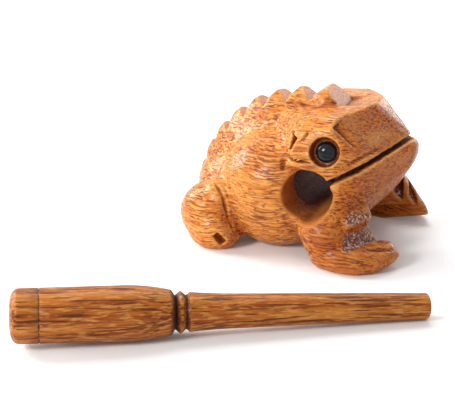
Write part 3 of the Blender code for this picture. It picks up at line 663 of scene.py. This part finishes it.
def vertex_arrays(mesh):
    count = len(mesh.vertices)
    points = np.empty(count * 3)
    mesh.vertices.foreach_get("co", points)
    normals = np.empty(count * 3, dtype=np.float32)
    mesh.vertex_normals.foreach_get("vector", normals)
    edges = np.empty(len(mesh.edges) * 2, dtype=np.int64)
    mesh.edges.foreach_get("vertices", edges)
    return points.reshape(-1, 3), normals.reshape(-1, 3).astype(float), edges.reshape(-1, 2)


def neighbour_mean(points, edges):
    """The mean of each vertex's neighbours."""
    count = len(points)
    first, second = edges[:, 0], edges[:, 1]
    total = np.empty_like(points)
    for axis in range(3):
        values = points[:, axis]
        total[:, axis] = np.bincount(first, weights=values[second], minlength=count)
        total[:, axis] += np.bincount(second, weights=values[first], minlength=count)
    return total / np.bincount(edges.ravel(), minlength=count)[:, None]


def spread(points, edges, passes):
    for _ in range(passes):
        points = 0.5 * points + 0.5 * neighbour_mean(points, edges)
    return points


def smooth_step(low, high, values):
    share = np.clip((values - low) / (high - low), 0, 1)
    return share * share * (3 - 2 * share)


def set_attribute(mesh, name, values):
    layer = mesh.attributes.new(name, "FLOAT", "POINT")
    layer.data.foreach_set("value", np.ascontiguousarray(values, dtype=np.float32))


def facing_mask(normals, direction, low, high):
    direction = np.array(direction) / np.linalg.norm(direction)
    return smooth_step(low, high, normals @ direction)


def fade(edges, *values):
    """The product of a smooth step for each pair of edges, with its values."""
    mask = 1.0
    for (low, high), value in zip(edges.values(), values):
        mask = mask * smooth_step(low, high, value)
    return mask


def within(box, *values):
    """How much points lie in a box with soft sides."""
    mask = 1.0
    for (low, high, soft), value in zip(box.values(), values):
        mask = mask * smooth_step(low - soft, low + soft, value)
        mask = mask * smooth_step(high + soft, high - soft, value)
    return mask


def stippled_facets(normals, x, y, z):
    """The pecked steps between the toes and the arm, on both front feet."""
    upper = facing_mask(normals, *UPPER_WAY) * within(UPPER_STEP, z)
    lower = facing_mask(normals, *LOWER_WAY) * within(LOWER_STEP, z)
    lower *= smooth_step(*LOWER_STEP_TOE, TOE_WAY[0] * x + TOE_WAY[1] * y)
    right = (upper + lower) * within(RIGHT_STEPS, x, y)
    left = facing_mask(normals, *LEFT_WAY) * within(LEFT_STEP, x, y, z)
    return np.clip(right + left, 0, 1)


def end_chips(normals, x, y, z):
    """How much a point of the crest lies on a tooth's flat front."""
    radius = np.hypot(x - BACK_CENTRE_X, z - BACK_CENTRE_Z)
    angle = np.degrees(np.arctan2(z - BACK_CENTRE_Z, x - BACK_CENTRE_X))
    index = np.round((angle - FIRST_TOOTH + NOTCH.ahead) / TOOTH_PITCH)
    index = np.clip(index, 0, TOOTH_COUNT - 1)
    chip = np.where(index == 0, FRONT_NOTCH.chip, NOTCH.chip)
    lean = np.radians(chip - 90 + CHIP_TURN * index * TOOTH_PITCH)
    match = normals[:, 0] * np.cos(lean) + normals[:, 2] * np.sin(lean)
    return smooth_step(*CHIP_MATCH, match) * fade(CREST_MASK, radius, np.abs(y), x)


def mouth_slot(x, z):
    climb = radians(MOUTH_CLIMB)
    away = np.abs((z - MOUTH_LIP[1]) * cos(climb) - (x - MOUTH_LIP[0]) * sin(climb))
    half = 0.5 * MOUTH_CUT
    return smooth_step(half + SLOT_EDGE, half, away) * smooth_step(BORE[0], BORE[0] + SLOT_REAR, x)


def varnish_stain_and_shade(normals, x, y, z):
    """Darker varnish and painted shade: on faces turned forward, partly end grain and partly
    painted shade, and painted shade on the left foot and the low front.
    """
    end_grain_and_shade = fade(END_GRAIN_AND_SHADE, normals[:, 0], normals[:, 2])
    left_foot_shade = within(LEFT_FOOT_SHADE, x, y) * smooth_step(*LEFT_FOOT_SHADE_TOP, z)
    stain_and_shade = np.maximum(end_grain_and_shade * END_GRAIN_SHADE_SHARE, left_foot_shade)
    return np.maximum(stain_and_shade, LOW_FRONT_SHADE_SHARE * fade(LOW_FRONT_SHADE, z, x))


def tool_marks(points, chips, stipple, inner, bore):
    marks = np.zeros(len(points))
    for seed, (height, sizes) in enumerate(GOUGES, 1):
        marks += height * lattice_noise(points / np.array(sizes), seed)
    pecks = lattice_noise(points / PECK_SIZE, 4)
    marks += PECK_HEIGHT * pecks * np.maximum(chips * CHIP_PECKS, stipple)
    torn = lattice_noise(points / np.array(TORN_SIZES), 5)
    marks += TORN_CHAMBER * torn * inner + TORN_BORE * torn * bore
    return marks


def finish_carving(body, skin):
    """Tool marks, torn end grain and the masks that the wood material reads."""
    mesh = body.data
    points, normals, edges = vertex_arrays(mesh)
    x, y, z = points[:, 0], points[:, 1], points[:, 2]
    inner = fade(CHAMBER_MASK, np.abs(y), np.hypot(x - CHAMBER[0], z - CHAMBER[1]))
    bore = smooth_step(*BORE_WALL, np.hypot(x - BORE[0], z - BORE[1])) * (1 - inner)
    chips = end_chips(normals, x, y, z)
    stipple = stippled_facets(normals, x, y, z)
    # The mouth slot is painted dark as shade, like the chamber
    inner = np.maximum(inner, SLOT_SHADE_SHARE * mouth_slot(x, z))
    marks = tool_marks(points, chips, stipple, inner, bore)
    points += normals * (marks * smooth_step(*ABOVE_GROUND, z))[:, None]
    # Hollows and ridges, for painted shade and a painted highlight
    base = spread(points, edges, HOLLOW_PASSES)
    hollow = ((base - points) * normals).sum(axis=1)
    # Creases below a widely smoothed skin, for painted shade
    base = spread(base, edges, WIDE_PASSES)
    crease_shade = ((base - points) * normals).sum(axis=1)
    # Darker varnish together with painted shade
    stain_and_shade = varnish_stain_and_shade(normals, x, y, z)
    # Depth below the skin before the last cuts, for painted shade in the cuts
    cut = np.array([skin.find_nearest(Vector(point))[3] for point in points])
    cut = smooth_step(*CUT_DEPTHS, cut) * (1 - inner) * (1 - bore)
    points = np.clip(points, *cad_box)
    mesh.vertices.foreach_set("co", points.ravel())
    masks = {
        "hollow": np.clip(0.5 + hollow / HOLLOW_SPAN, 0, 1),
        "crease_shade": smooth_step(*CREASE_DEPTHS, crease_shade) * (1 - inner),
        "stain_and_shade": stain_and_shade * (1 - chips), "cut": cut * (1 - chips), "inner": inner, "bore": bore,
        "chip": chips, "stipple": stipple,
    }
    for name, values in masks.items():
        set_attribute(mesh, name, values)
    mesh.update()


# Materials
class Nodes:
    """Short names for building the node tree of a material or of the world."""

    def __init__(self, owner):
        owner.use_nodes = True
        self.owner = owner
        self.tree = owner.node_tree

    def add(self, kind, inputs=None, **settings):
        node = self.tree.nodes.new(kind)
        for name, value in settings.items():
            setattr(node, name, value)
        for key, value in (inputs or {}).items():
            self.put(node.inputs[key], value)
        return node

    def put(self, socket, value):
        if isinstance(value, bpy.types.NodeSocket):
            self.tree.links.new(value, socket)
        elif isinstance(value, bpy.types.Node):
            self.tree.links.new(value.outputs[0], socket)
        else:
            socket.default_value = value

    def math(self, operation, a, b=0.0, clamp=False):
        return self.add("ShaderNodeMath", {0: a, 1: b}, operation=operation, use_clamp=clamp)

    def mix(self, share, a, b, blend="MIX"):
        node = self.add("ShaderNodeMix", data_type="RGBA", blend_type=blend)
        self.put(node.inputs[0], share)
        self.put(node.inputs[6], a)
        self.put(node.inputs[7], b)
        return node.outputs[2]

    def ramp(self, value, *stops):
        node = self.add("ShaderNodeValToRGB", {0: value})
        elements = node.color_ramp.elements
        while len(elements) < len(stops):
            elements.new(0.5)
        for element, (place, colour) in zip(elements, stops):
            element.position = place
            element.color = colour
        return node.outputs[0]

    def between(self, value, low, high, to_low=0.0, to_high=1.0):
        inputs = {0: value, 1: low, 2: high, 3: to_low, 4: to_high}
        return self.add("ShaderNodeMapRange", inputs).outputs[0]

    def vector(self, operation, a, b):
        return self.add("ShaderNodeVectorMath", {0: a, 1: b}, operation=operation)

    def attribute(self, name):
        return self.add("ShaderNodeAttribute", attribute_name=name).outputs["Fac"]

    def noise(self, place, scale, detail=2.0, roughness=0.5, distortion=0.0):
        inputs = {"Vector": place, "Scale": scale, "Detail": detail, "Roughness": roughness,
                  "Distortion": distortion}
        return self.add("ShaderNodeTexNoise", inputs).outputs[0]

    def grain(self, place, sizes, detail=1.0, roughness=0.5, distortion=0.0):
        """Noise with wavelengths of the given sizes along X, Y and Z, in metres."""
        inverse = tuple(1 / size for size in sizes)
        place = self.add("ShaderNodeMapping", {"Vector": place, "Scale": inverse}).outputs[0]
        return self.noise(place, 1.0, detail, roughness, distortion)

    def over(self, colour, mask, share, layer):
        """The colour with a share of a layer over it where the mask is."""
        return self.mix(self.math("MULTIPLY", mask, share), colour, layer)

    def bump(self, height, strength, distance):
        inputs = {"Strength": strength, "Distance": distance, "Height": height}
        return self.add("ShaderNodeBump", inputs)

    def finished(self, **inputs):
        """Sets the shader's inputs, the plain values directly on their sockets."""
        for name, value in inputs.items():
            self.put(self.tree.nodes["Principled BSDF"].inputs[name.replace("_", " ")], value)
        return self.owner


def rgb(red, green, blue):
    return (red, green, blue, 1.0)


# Colours of the frog's wood. The stain colour is darker varnish and painted shade; the crease and
# hollow colours are painted shade; the ridge colour is wear with a painted highlight; the bore and
# shred colours are painted shade; the palest pecked colour is painted glints.
FROG_COLOURS = {
    "broad": ((0.34, rgb(0.49, 0.112, 0.009)), (0.5, rgb(0.55, 0.15, 0.014)),
              (0.66, rgb(0.62, 0.2, 0.024))),
    "band": rgb(0.7, 0.27, 0.046), "fleck": rgb(0.76, 0.34, 0.078),
    "dash": rgb(0.2, 0.026, 0.0025), "pore": rgb(0.085, 0.014, 0.004),
    "bare": (rgb(0.58, 0.275, 0.18), rgb(0.74, 0.395, 0.275)),
    "bare_pore": rgb(0.16, 0.05, 0.03), "stain_and_shade": rgb(0.73, 0.49, 0.14),
    "crease_shade": rgb(0.19, 0.03, 0.003), "hollow": rgb(0.13, 0.02, 0.003),
    "ridge_wear_and_highlight": rgb(0.78, 0.36, 0.1), "bore": rgb(0.42, 0.105, 0.007),
    "shreds_in_shade": (rgb(0.13, 0.02, 0.003), rgb(0.32, 0.08, 0.014)),
    "pecked": ((0.42, rgb(0.085, 0.02, 0.011)), (0.54, rgb(0.26, 0.085, 0.055)),
               (0.64, rgb(0.8, 0.58, 0.52))),
}
FROG_SPECULAR = 0.26
# Wavelengths of the frog's grain, which runs along X, with the noise's detail and roughness
FROG_GRAIN = {
    "broad": ((0.045, 0.01, 0.007), 3.0, 0.55), "band": ((0.024, 0.006, 0.0026), 2.0),
    "fleck": ((0.006, 0.0017, 0.00085), 1.5, 0.55), "dash": ((0.0105, 0.0012, 0.0006),),
    "pore": ((0.0022, 0.00055, 0.00045), 0.5), "cluster": ((0.03, 0.012, 0.01),),
}
# Specks of the pecked steps; the palest are painted glints
SPECKS = ((0.0009, 0.0009, 0.0009), 2.0, 0.65)
GRAIN_BEND = (0.0, 0.004, 0.006)


def frog_wood():
    n = Nodes(bpy.data.materials.new("frog_wood"))
    place = n.add("ShaderNodeTexCoord").outputs["Object"]
    masks = ("hollow", "inner", "bore", "chip", "stipple", "stain_and_shade")
    hollow, inner, bore, chip, stipple, stain_and_shade = [n.attribute(name) for name in masks]
    # Painted shade in creases and in cuts
    crease_shade = n.math("MAXIMUM", n.attribute("crease_shade"), n.attribute("cut"))
    paint = FROG_COLOURS

    # Grain that wanders up and down
    bend = {"Vector": place, "Scale": 45.0, "Detail": 1.0}
    bend = n.add("ShaderNodeTexNoise", bend).outputs["Color"]
    bend = n.vector("MULTIPLY", n.vector("SUBTRACT", bend, (0.5, 0.5, 0.5)), GRAIN_BEND)
    grain = n.vector("ADD", place, bend)
    layers = [n.grain(grain, *layer) for layer in FROG_GRAIN.values()]
    broad, band, fleck, dash, pore, cluster = layers
    pores = n.between(pore, 0.62, 0.68)
    edge = n.between(cluster, 0.36, 0.6, 0.61, 0.505)
    dashes = n.math("MULTIPLY", n.math("SUBTRACT", dash, edge), 16.0, clamp=True)
    colour = n.ramp(broad, *paint["broad"])
    colour = n.mix(n.between(band, 0.46, 0.64, 0.0, 0.6), colour, paint["band"])
    colour = n.mix(n.between(fleck, 0.47, 0.62, 0.0, 0.8), colour, paint["fleck"])
    colour = n.over(colour, dashes, 0.92, paint["dash"])
    colour = n.over(colour, pores, 0.75, paint["pore"])

    # Darker varnish with painted shade, painted shade in creases and cuts, bare chips, and pecked
    # steps with painted glints
    colour = n.mix(stain_and_shade, colour, paint["stain_and_shade"], blend="MULTIPLY")
    colour = n.over(colour, crease_shade, 0.75, paint["crease_shade"])
    bare = n.mix(n.between(fleck, 0.4, 0.62), *paint["bare"])
    colour = n.over(colour, chip, 0.92, n.over(bare, pores, 0.85, paint["bare_pore"]))
    # Pecked steps whose palest specks are painted glints
    speck = n.grain(place, *SPECKS)
    colour = n.over(colour, stipple, 0.9, n.ramp(speck, *paint["pecked"]))

    # Painted shade in hollows, a painted highlight with some wear on ridges, painted shade on the
    # bore's wall, and the torn chamber and the mouth slot painted dark as shade
    colour = n.mix(n.between(hollow, 0.56, 0.9, 0.0, 0.85), colour, paint["hollow"])
    # A painted highlight, with some wear, on convex ridges
    colour = n.mix(n.between(hollow, 0.46, 0.22, 0.0, 0.55), colour, paint["ridge_wear_and_highlight"])
    # Painted shade on the bore's wall
    colour = n.over(colour, bore, 0.6, paint["bore"])
    # Torn grain in the chamber, painted near black as shade
    shreds_in_shade = n.mix(n.between(fleck, 0.42, 0.6), *paint["shreds_in_shade"])
    colour = n.over(colour, inner, 0.95, shreds_in_shade)

    height = n.math("MULTIPLY", n.math("ADD", dashes, pores), -1.0)
    height = n.math("ADD", height, n.math("MULTIPLY", fleck, 0.7))
    pecks = n.math("MULTIPLY", n.math("MULTIPLY", speck, stipple), 5.0)
    bump = n.bump(n.math("ADD", height, pecks), 0.6, 0.00012)
    gloss = n.between(fleck, 0.3, 0.7, 0.2, 0.32)
    dull = n.math("MAXIMUM", n.math("MULTIPLY", chip, 0.5), n.math("MAXIMUM", inner, bore))
    gloss = n.math("ADD", gloss, n.math("MULTIPLY", dull, 0.5))
    gloss = n.math("SUBTRACT", gloss, n.math("MULTIPLY", stipple, 0.14), clamp=True)
    return n.finished(Base_Color=colour, Roughness=gloss, Normal=bump,
                      Specular_IOR_Level=FROG_SPECULAR)


STRIKER_COLOURS = {
    "broad": ((0.34, rgb(0.26, 0.055, 0.006)), (0.5, rgb(0.37, 0.1, 0.012)),
              (0.66, rgb(0.46, 0.16, 0.026))),
    "streak": rgb(0.2, 0.04, 0.007), "fibre": rgb(0.56, 0.25, 0.06),
    "line": rgb(0.075, 0.014, 0.004), "pore": rgb(0.08, 0.02, 0.006),
    "burn": rgb(0.03, 0.009, 0.004),
}
STRIKER_SPECULAR = 0.16
# Wavelengths of the striker's grain, which runs along its own Z, with the noise's detail,
# roughness and distortion
STRIKER_GRAIN = {
    "broad": ((0.0065, 0.0065, 0.09), 3.0, 0.55, 0.4),
    "streak": ((0.0024, 0.0024, 0.04), 3.0, 0.6, 0.5),
    "fibre": ((0.0009, 0.0009, 0.006), 2.0, 0.6), "line": ((0.0007, 0.0007, 0.016),),
    "pore": ((0.00045, 0.00045, 0.0035),),
}


def striker_wood(stick_frame):
    n = Nodes(bpy.data.materials.new("striker_wood"))
    paint = STRIKER_COLOURS
    place = {"Vector": n.add("ShaderNodeTexCoord").outputs["Object"],
             "Location": stick_frame.translation, "Rotation": stick_frame.to_euler()}
    place = n.add("ShaderNodeMapping", place, vector_type="TEXTURE").outputs[0]
    layers = [n.grain(place, *layer) for layer in STRIKER_GRAIN.values()]
    broad, streak, fibre, line, pore = layers
    pores = n.between(pore, 0.62, 0.7)
    edge = n.between(streak, 0.42, 0.56, 0.64, 0.52)
    lines = n.math("MULTIPLY", n.math("SUBTRACT", line, edge), 14.0, clamp=True)
    colour = n.ramp(broad, *paint["broad"])
    colour = n.mix(n.between(streak, 0.5, 0.58, 0.0, 0.8), colour, paint["streak"])
    colour = n.mix(n.between(fibre, 0.5, 0.62, 0.0, 0.65), colour, paint["fibre"])
    colour = n.over(colour, lines, 0.85, paint["line"])
    colour = n.over(colour, pores, 0.6, paint["pore"])
    colour = n.mix(n.attribute("burn"), colour, paint["burn"])
    height = n.math("ADD", n.math("MULTIPLY", pores, -1.0), n.math("MULTIPLY", fibre, 0.6))
    gloss = n.between(fibre, 0.3, 0.7, 0.3, 0.44)
    return n.finished(Base_Color=colour, Roughness=gloss, Normal=n.bump(height, 0.4, 0.0001),
                      Specular_IOR_Level=STRIKER_SPECULAR)


BEAD_BLACKS = (rgb(0.004, 0.005, 0.007), rgb(0.012, 0.014, 0.018))
BEAD_SPECULAR = 0.25
BEAD_CLOUDS = ((0.0022, 0.0022, 0.0022), 2.0)
BEAD_SCUFFS = ((0.0013, 0.0013, 0.0013), 2.0, 0.6)


def eye_black():
    n = Nodes(bpy.data.materials.new("eye_bead"))
    place = n.add("ShaderNodeTexCoord").outputs["Object"]
    cloud = n.grain(place, *BEAD_CLOUDS)
    scuff = n.grain(place, *BEAD_SCUFFS)
    colour = n.mix(n.between(cloud, 0.4, 0.7), *BEAD_BLACKS)
    gloss = n.between(cloud, 0.35, 0.7, 0.05, 0.1)
    return n.finished(Base_Color=colour, Roughness=gloss, Normal=n.bump(scuff, 0.3, 0.0001),
                      Specular_IOR_Level=BEAD_SPECULAR)


def floor_white():
    """White to the eye away from the object, and matt near it, where its shadow falls."""
    n = Nodes(bpy.data.materials.new("floor_white"))
    ground = n.add("ShaderNodeTexCoord").outputs["Object"]
    tone = n.between(n.noise(ground, 3.0), 0.3, 0.7, *FLOOR_TONES)
    tone = n.add("ShaderNodeCombineColor", {0: tone, 1: tone, 2: tone})
    away = n.add("ShaderNodeVectorMath", {0: n.vector("ADD", ground, SHADOW_MIDDLE)},
                 operation="LENGTH").outputs["Value"]
    glow = n.between(away, *SHADOW_RADII, *FLOOR_GLOWS)
    seen = n.add("ShaderNodeLightPath").outputs["Is Camera Ray"]
    return n.finished(Base_Color=tone, Roughness=0.9, Emission_Color=rgb(1.0, 1.0, 1.0),
                      Emission_Strength=n.math("MULTIPLY", seen, glow))


# Turned pieces
def turned(name, profile, steps):
    """A profile of (radius, height) from top to bottom, spun about Z."""
    mesh = bpy.data.meshes.new(name)
    points = [(radius, 0, height) for radius, height in profile]
    mesh.from_pydata(points, [(i, i + 1) for i in range(len(points) - 1)], [])
    made = link(bpy.data.objects.new(name, mesh))
    add_modifier(made, "SCREW", axis="Z", steps=steps, render_steps=steps, use_merge_vertices=True,
                 merge_threshold=0.00001, use_smooth_shade=True)
    applied(made)
    made.data.set_sharp_from_angle(angle=radians(38))
    return made


def quarter_turn(steps):
    return [pi / 2 * step / steps for step in range(steps + 1)]


def eye_bead(name, seat):
    profile = [(EYE_RADIUS * sin(turn), GLUE_GAP + EYE_DOME * cos(turn))
               for turn in quarter_turn(24)]
    peg, low = EYE_PEG[0], GLUE_GAP - EYE_PEG[1]
    profile += [(EYE_RADIUS, GLUE_GAP), (peg, GLUE_GAP), (peg, low), (0, low)]
    bead = turned(name, profile, 64)
    bead.data.transform(seat)
    return bead


def striker_profile():
    """Points of (radius, distance from the handle's end), from the tip to the handle's end."""
    collar_end = HANDLE + COLLAR
    points = [(0, LENGTH)]
    for turn in quarter_turn(TIP_STEPS):
        points.append((TIP - TIP_ROUND * (1 - sin(turn)), LENGTH - TIP_ROUND * (1 - cos(turn))))
    for step in range(1, SHAFT_STEPS):
        share = step / SHAFT_STEPS
        at = LENGTH - TIP_ROUND + (collar_end + WAIST_AFTER - LENGTH + TIP_ROUND) * share
        points.append((TIP + (WAIST - TIP) * share, at))
    for step in range(WAIST_STEPS + 1):
        share = 1 - step / WAIST_STEPS
        at = collar_end + EDGE + (WAIST_AFTER - EDGE) * share
        flare = (1 - share) ** WAIST_SWEEP
        points.append((WAIST + (SHOULDER_RADIUS - WAIST) * flare, at))
    points += [
        (SHOULDER_RADIUS - 0.3 * EDGE, collar_end + 0.3 * EDGE),
        (SHOULDER_RADIUS - EDGE, collar_end),
        (GROOVE, (BEAD_AT + BEAD_HALF + collar_end) / 2 + GROOVE_SHIFT),
        (BEAD - BREAK, BEAD_AT + BEAD_HALF),
        (BEAD, BEAD_AT + 0.5 * BEAD_HALF),
        (BEAD, BEAD_AT - 0.5 * BEAD_HALF),
        (BEAD - BREAK, BEAD_AT - BEAD_HALF),
        (GROOVE, (BEAD_AT - BEAD_HALF + HANDLE) / 2 - GROOVE_SHIFT),
        (NECK - BREAK, HANDLE),
    ]
    for step in range(HANDLE_STEPS):
        share = step / HANDLE_STEPS
        bow = 1 - (1 - share) ** 2
        at = HANDLE - BREAK - (HANDLE - BREAK - BULGE_AT) * share
        points.append((NECK + (BULGE - NECK) * bow, at))
    points.append((BULGE, BULGE_AT))
    scribe = END + (BULGE - END) * (SCRIBE_AT - DOME) / (BULGE_AT - DOME)
    for share in (0.75, 0.5, 0.25):
        at = SCRIBE_AT + (BULGE_AT - SCRIBE_AT) * share
        points.append((scribe + (BULGE - scribe) * share, at))
    points.append((scribe, SCRIBE_AT + SCRIBE_HALF))
    points.append((scribe - SCRIBE_DEPTH, SCRIBE_AT))
    points.append((scribe, SCRIBE_AT - SCRIBE_HALF))
    for turn in quarter_turn(DOME_STEPS)[:-1]:
        points.append((END * cos(turn) ** 0.5, DOME * (1 - sin(turn))))
    return points + [(0, 0)]


def striker_frame(outline):
    tip_at = LENGTH - TIP_ROUND
    handle = [(radius, distance) for radius, distance in outline if distance < HANDLE]
    slope, bulge, bulge_at = max(
        (atan2(radius - TIP, tip_at - distance), radius, distance) for radius, distance in handle)
    heading = radians(HEADING)
    along = Vector((cos(heading) * cos(slope), sin(heading) * cos(slope), -sin(slope)))
    down = Vector((-cos(heading) * sin(slope), -sin(heading) * sin(slope), -cos(slope)))
    made = facing((0, 0, 0), -along, down)
    contact = made @ Vector((bulge, 0, -bulge_at))
    made.translation = Vector((*STRIKER_END, 0)) - Vector((0, 0, contact.z))
    return made


def burnt(along, radius):
    """The burnt grooves, and a little of the scribed line and of the handle's end."""
    burn = np.zeros(len(along))
    for middle in BURNT_GROOVES:
        groove = smooth_step(BURN_HALF + 0.0004, BURN_HALF, np.abs(along - middle))
        groove *= smooth_step(BURN_RADIUS + 0.0006, BURN_RADIUS, radius)
        burn = np.maximum(burn, groove)
    scribe = smooth_step(SCRIBE_HALF + 0.0001, 0.0001, np.abs(along - SCRIBE_AT))
    end = HANDLE_BURN * smooth_step(HANDLE - 0.0012, HANDLE - 0.0004, along)
    end *= smooth_step(HANDLE + 0.003, HANDLE + 0.002, along)
    return np.maximum(np.maximum(burn, SCRIBE_BURN * scribe), end)


def striker():
    outline = striker_profile()
    hanging = [(radius, -distance) for radius, distance in reversed(outline)]
    stick = turned("striker_stick", hanging, 128)
    mesh = stick.data
    points = vertex_arrays(mesh)[0]
    set_attribute(mesh, "burn", burnt(-points[:, 2], np.hypot(points[:, 0], points[:, 1])))
    stick_frame = striker_frame(outline)
    mesh.transform(stick_frame)
    points = np.clip(vertex_arrays(mesh)[0], *cad_box)
    mesh.vertices.foreach_set("co", points.ravel())
    mesh.update()
    return stick, stick_frame


# The pieces
def carved_frog():
    """The frog's body, its skin before the last cuts, and the seats of the eyes."""
    body = sanded("soft_mass", soft_masses(), None, SOFT_VOXEL, SOFT_PASSES)
    body = sanded("block_mass", block_masses(), body, BLOCK_VOXEL, BLOCK_PASSES)
    cutters = [floor_cut(), plane_cut(*SNOUT_FACET), mouth_cut(), *bore_cuts()]
    for side in SIDES:
        cutters.append(plane_cut(*[on_side(part, side) for part in SIDE_FACET]))
        point, normal = [Vector(part) for part in SNOUT_EDGE]
        point -= SNOUT_EDGE_DEPTH * normal
        cutters.append(plane_cut(on_side(point, side), on_side(normal, side)))
    for index in range(TOOTH_COUNT):
        cutters += notch_cuts(index, NOTCH_SET_BACK)
    body = sanded("frog_carving", crest(), body, CARVED_VOXEL, CARVED_PASSES, cutters)
    skin = BVHTree.FromObject(body, bpy.context.evaluated_depsgraph_get())
    chips = [(chip, side) for chip in SIDE_CHIPS.values() for side in SIDES]
    chips += [(chip, -1) for chip in RIGHT_TOE_CHIPS.values()] + [(LEFT_BROW_CHIP, 1)]
    cutters = [floor_cut()] + [chip_cut(side, *chip) for chip, side in chips]
    seats = {side: eye_frame(skin, side) for side in SIDES}
    for seat in seats.values():
        cutters += eye_cuts(seat)
    cutters += [hull_cut(corners) for corners in LEFT_TOE_CUTS.values()]
    for index in range(TOOTH_COUNT):
        cutters += notch_cuts(index)
    carve(body, cutters)
    add_modifier(body, "REMESH", mode="VOXEL", voxel_size=CARVED_VOXEL)
    add_modifier(body, "SMOOTH", factor=0.5, iterations=FINISH_PASSES)
    applied(body)
    share = MOST_TRIANGLES / (2 * len(body.data.polygons))
    if share < 1:
        add_modifier(body, "DECIMATE", ratio=share)
        applied(body)
    return body, skin, seats


body, skin, seats = carved_frog()
body.data.shade_smooth()
finish_carving(body, skin)
body.data.materials.clear()
body.data.materials.append(frog_wood())
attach(body, "frog")
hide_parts("frog_body")

bead_material = eye_black()
for side, word in ((-1, "right"), (1, "left")):
    bead = eye_bead("bead_" + word, seats[side])
    bead.data.materials.append(bead_material)
    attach(bead, "frog")
    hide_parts("eye_" + word)

stick, stick_frame = striker()
stick.data.materials.append(striker_wood(stick_frame))
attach(stick, "striker")
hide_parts("striker")

# Floor, light and camera
FLOOR_SIZE = 3.0
FLOOR_TONES = (0.92, 0.95)
SHADOW_MIDDLE = (0.0, 0.06, 0.0)
SHADOW_RADII = (0.08, 0.2)
FLOOR_GLOWS = (0.03, 0.6)
# The world's strength for the light that it casts, and as it is seen
WORLD_STRENGTHS = (0.45, 1.0)
# Place, size and power
SOFTBOXES = {
    "key": ((-0.22, -0.5, 0.3), (0.14, 0.14), 1.9),
    "side": ((-0.62, -0.02, 0.34), (0.35, 0.3), 4.5),
    "top": ((-0.1, 0.22, 0.62), (0.45, 0.35), 2.4),
    "back": ((0.24, 0.48, 0.25), (0.34, 0.24), 1.4),
}
SHEEN_ONLY = ("back",)
LIT_POINT = Vector((0, 0, 0.03))
CAMERA_AZIMUTH = 22.0
CAMERA_ELEVATION = 21.0
CAMERA_DISTANCE = 0.54
CAMERA_LENS = 92.57
LOOK_AT = Vector((-0.03939, 0.01245, 0.0))


def add_floor():
    bm = bmesh.new()
    bmesh.ops.create_grid(bm, x_segments=2, y_segments=2, size=FLOOR_SIZE)
    floor = mesh_object("floor", bm)
    floor.data.materials.append(floor_white())


def add_world():
    world = bpy.data.worlds.new("studio")
    bpy.context.scene.world = world
    n = Nodes(world)
    path = n.add("ShaderNodeLightPath").outputs
    seen = path["Is Camera Ray"]
    for ray in ("Is Glossy Ray", "Is Transmission Ray"):
        seen = n.math("MAXIMUM", seen, path[ray])
    background = n.tree.nodes["Background"]
    background.inputs[0].default_value = rgb(1.0, 1.0, 1.0)
    n.put(background.inputs[1], n.between(seen, 0.0, 1.0, *WORLD_STRENGTHS))


def add_softbox(name, place, size, power):
    lamp = bpy.data.lights.new(name, "AREA")
    lamp.shape = "RECTANGLE"
    lamp.size, lamp.size_y = size
    lamp.energy = power
    made = link(bpy.data.objects.new(name, lamp))
    made.location = place
    made.rotation_euler = (LIT_POINT - Vector(place)).to_track_quat("-Z", "Y").to_euler()
    made.visible_diffuse = name not in SHEEN_ONLY


def add_camera():
    az, el = radians(CAMERA_AZIMUTH), radians(CAMERA_ELEVATION)
    back = Vector((sin(az) * cos(el), -cos(az) * cos(el), sin(el)))
    right = Vector((cos(az), sin(az), 0))
    camera = bpy.data.cameras.new("camera")
    camera.sensor_width = 36.0
    camera.lens = CAMERA_LENS
    camera.clip_start = 0.02
    view = link(bpy.data.objects.new("camera", camera))
    placed = Matrix((right, back.cross(right), back)).transposed().to_4x4()
    placed.translation = LOOK_AT + CAMERA_DISTANCE * back
    view.matrix_world = placed
    bpy.context.scene.camera = view


add_floor()
add_world()
for name, (place, size, power) in SOFTBOXES.items():
    add_softbox(name, place, size, power)
add_camera()
bpy.context.scene.view_settings.view_transform = "Standard"
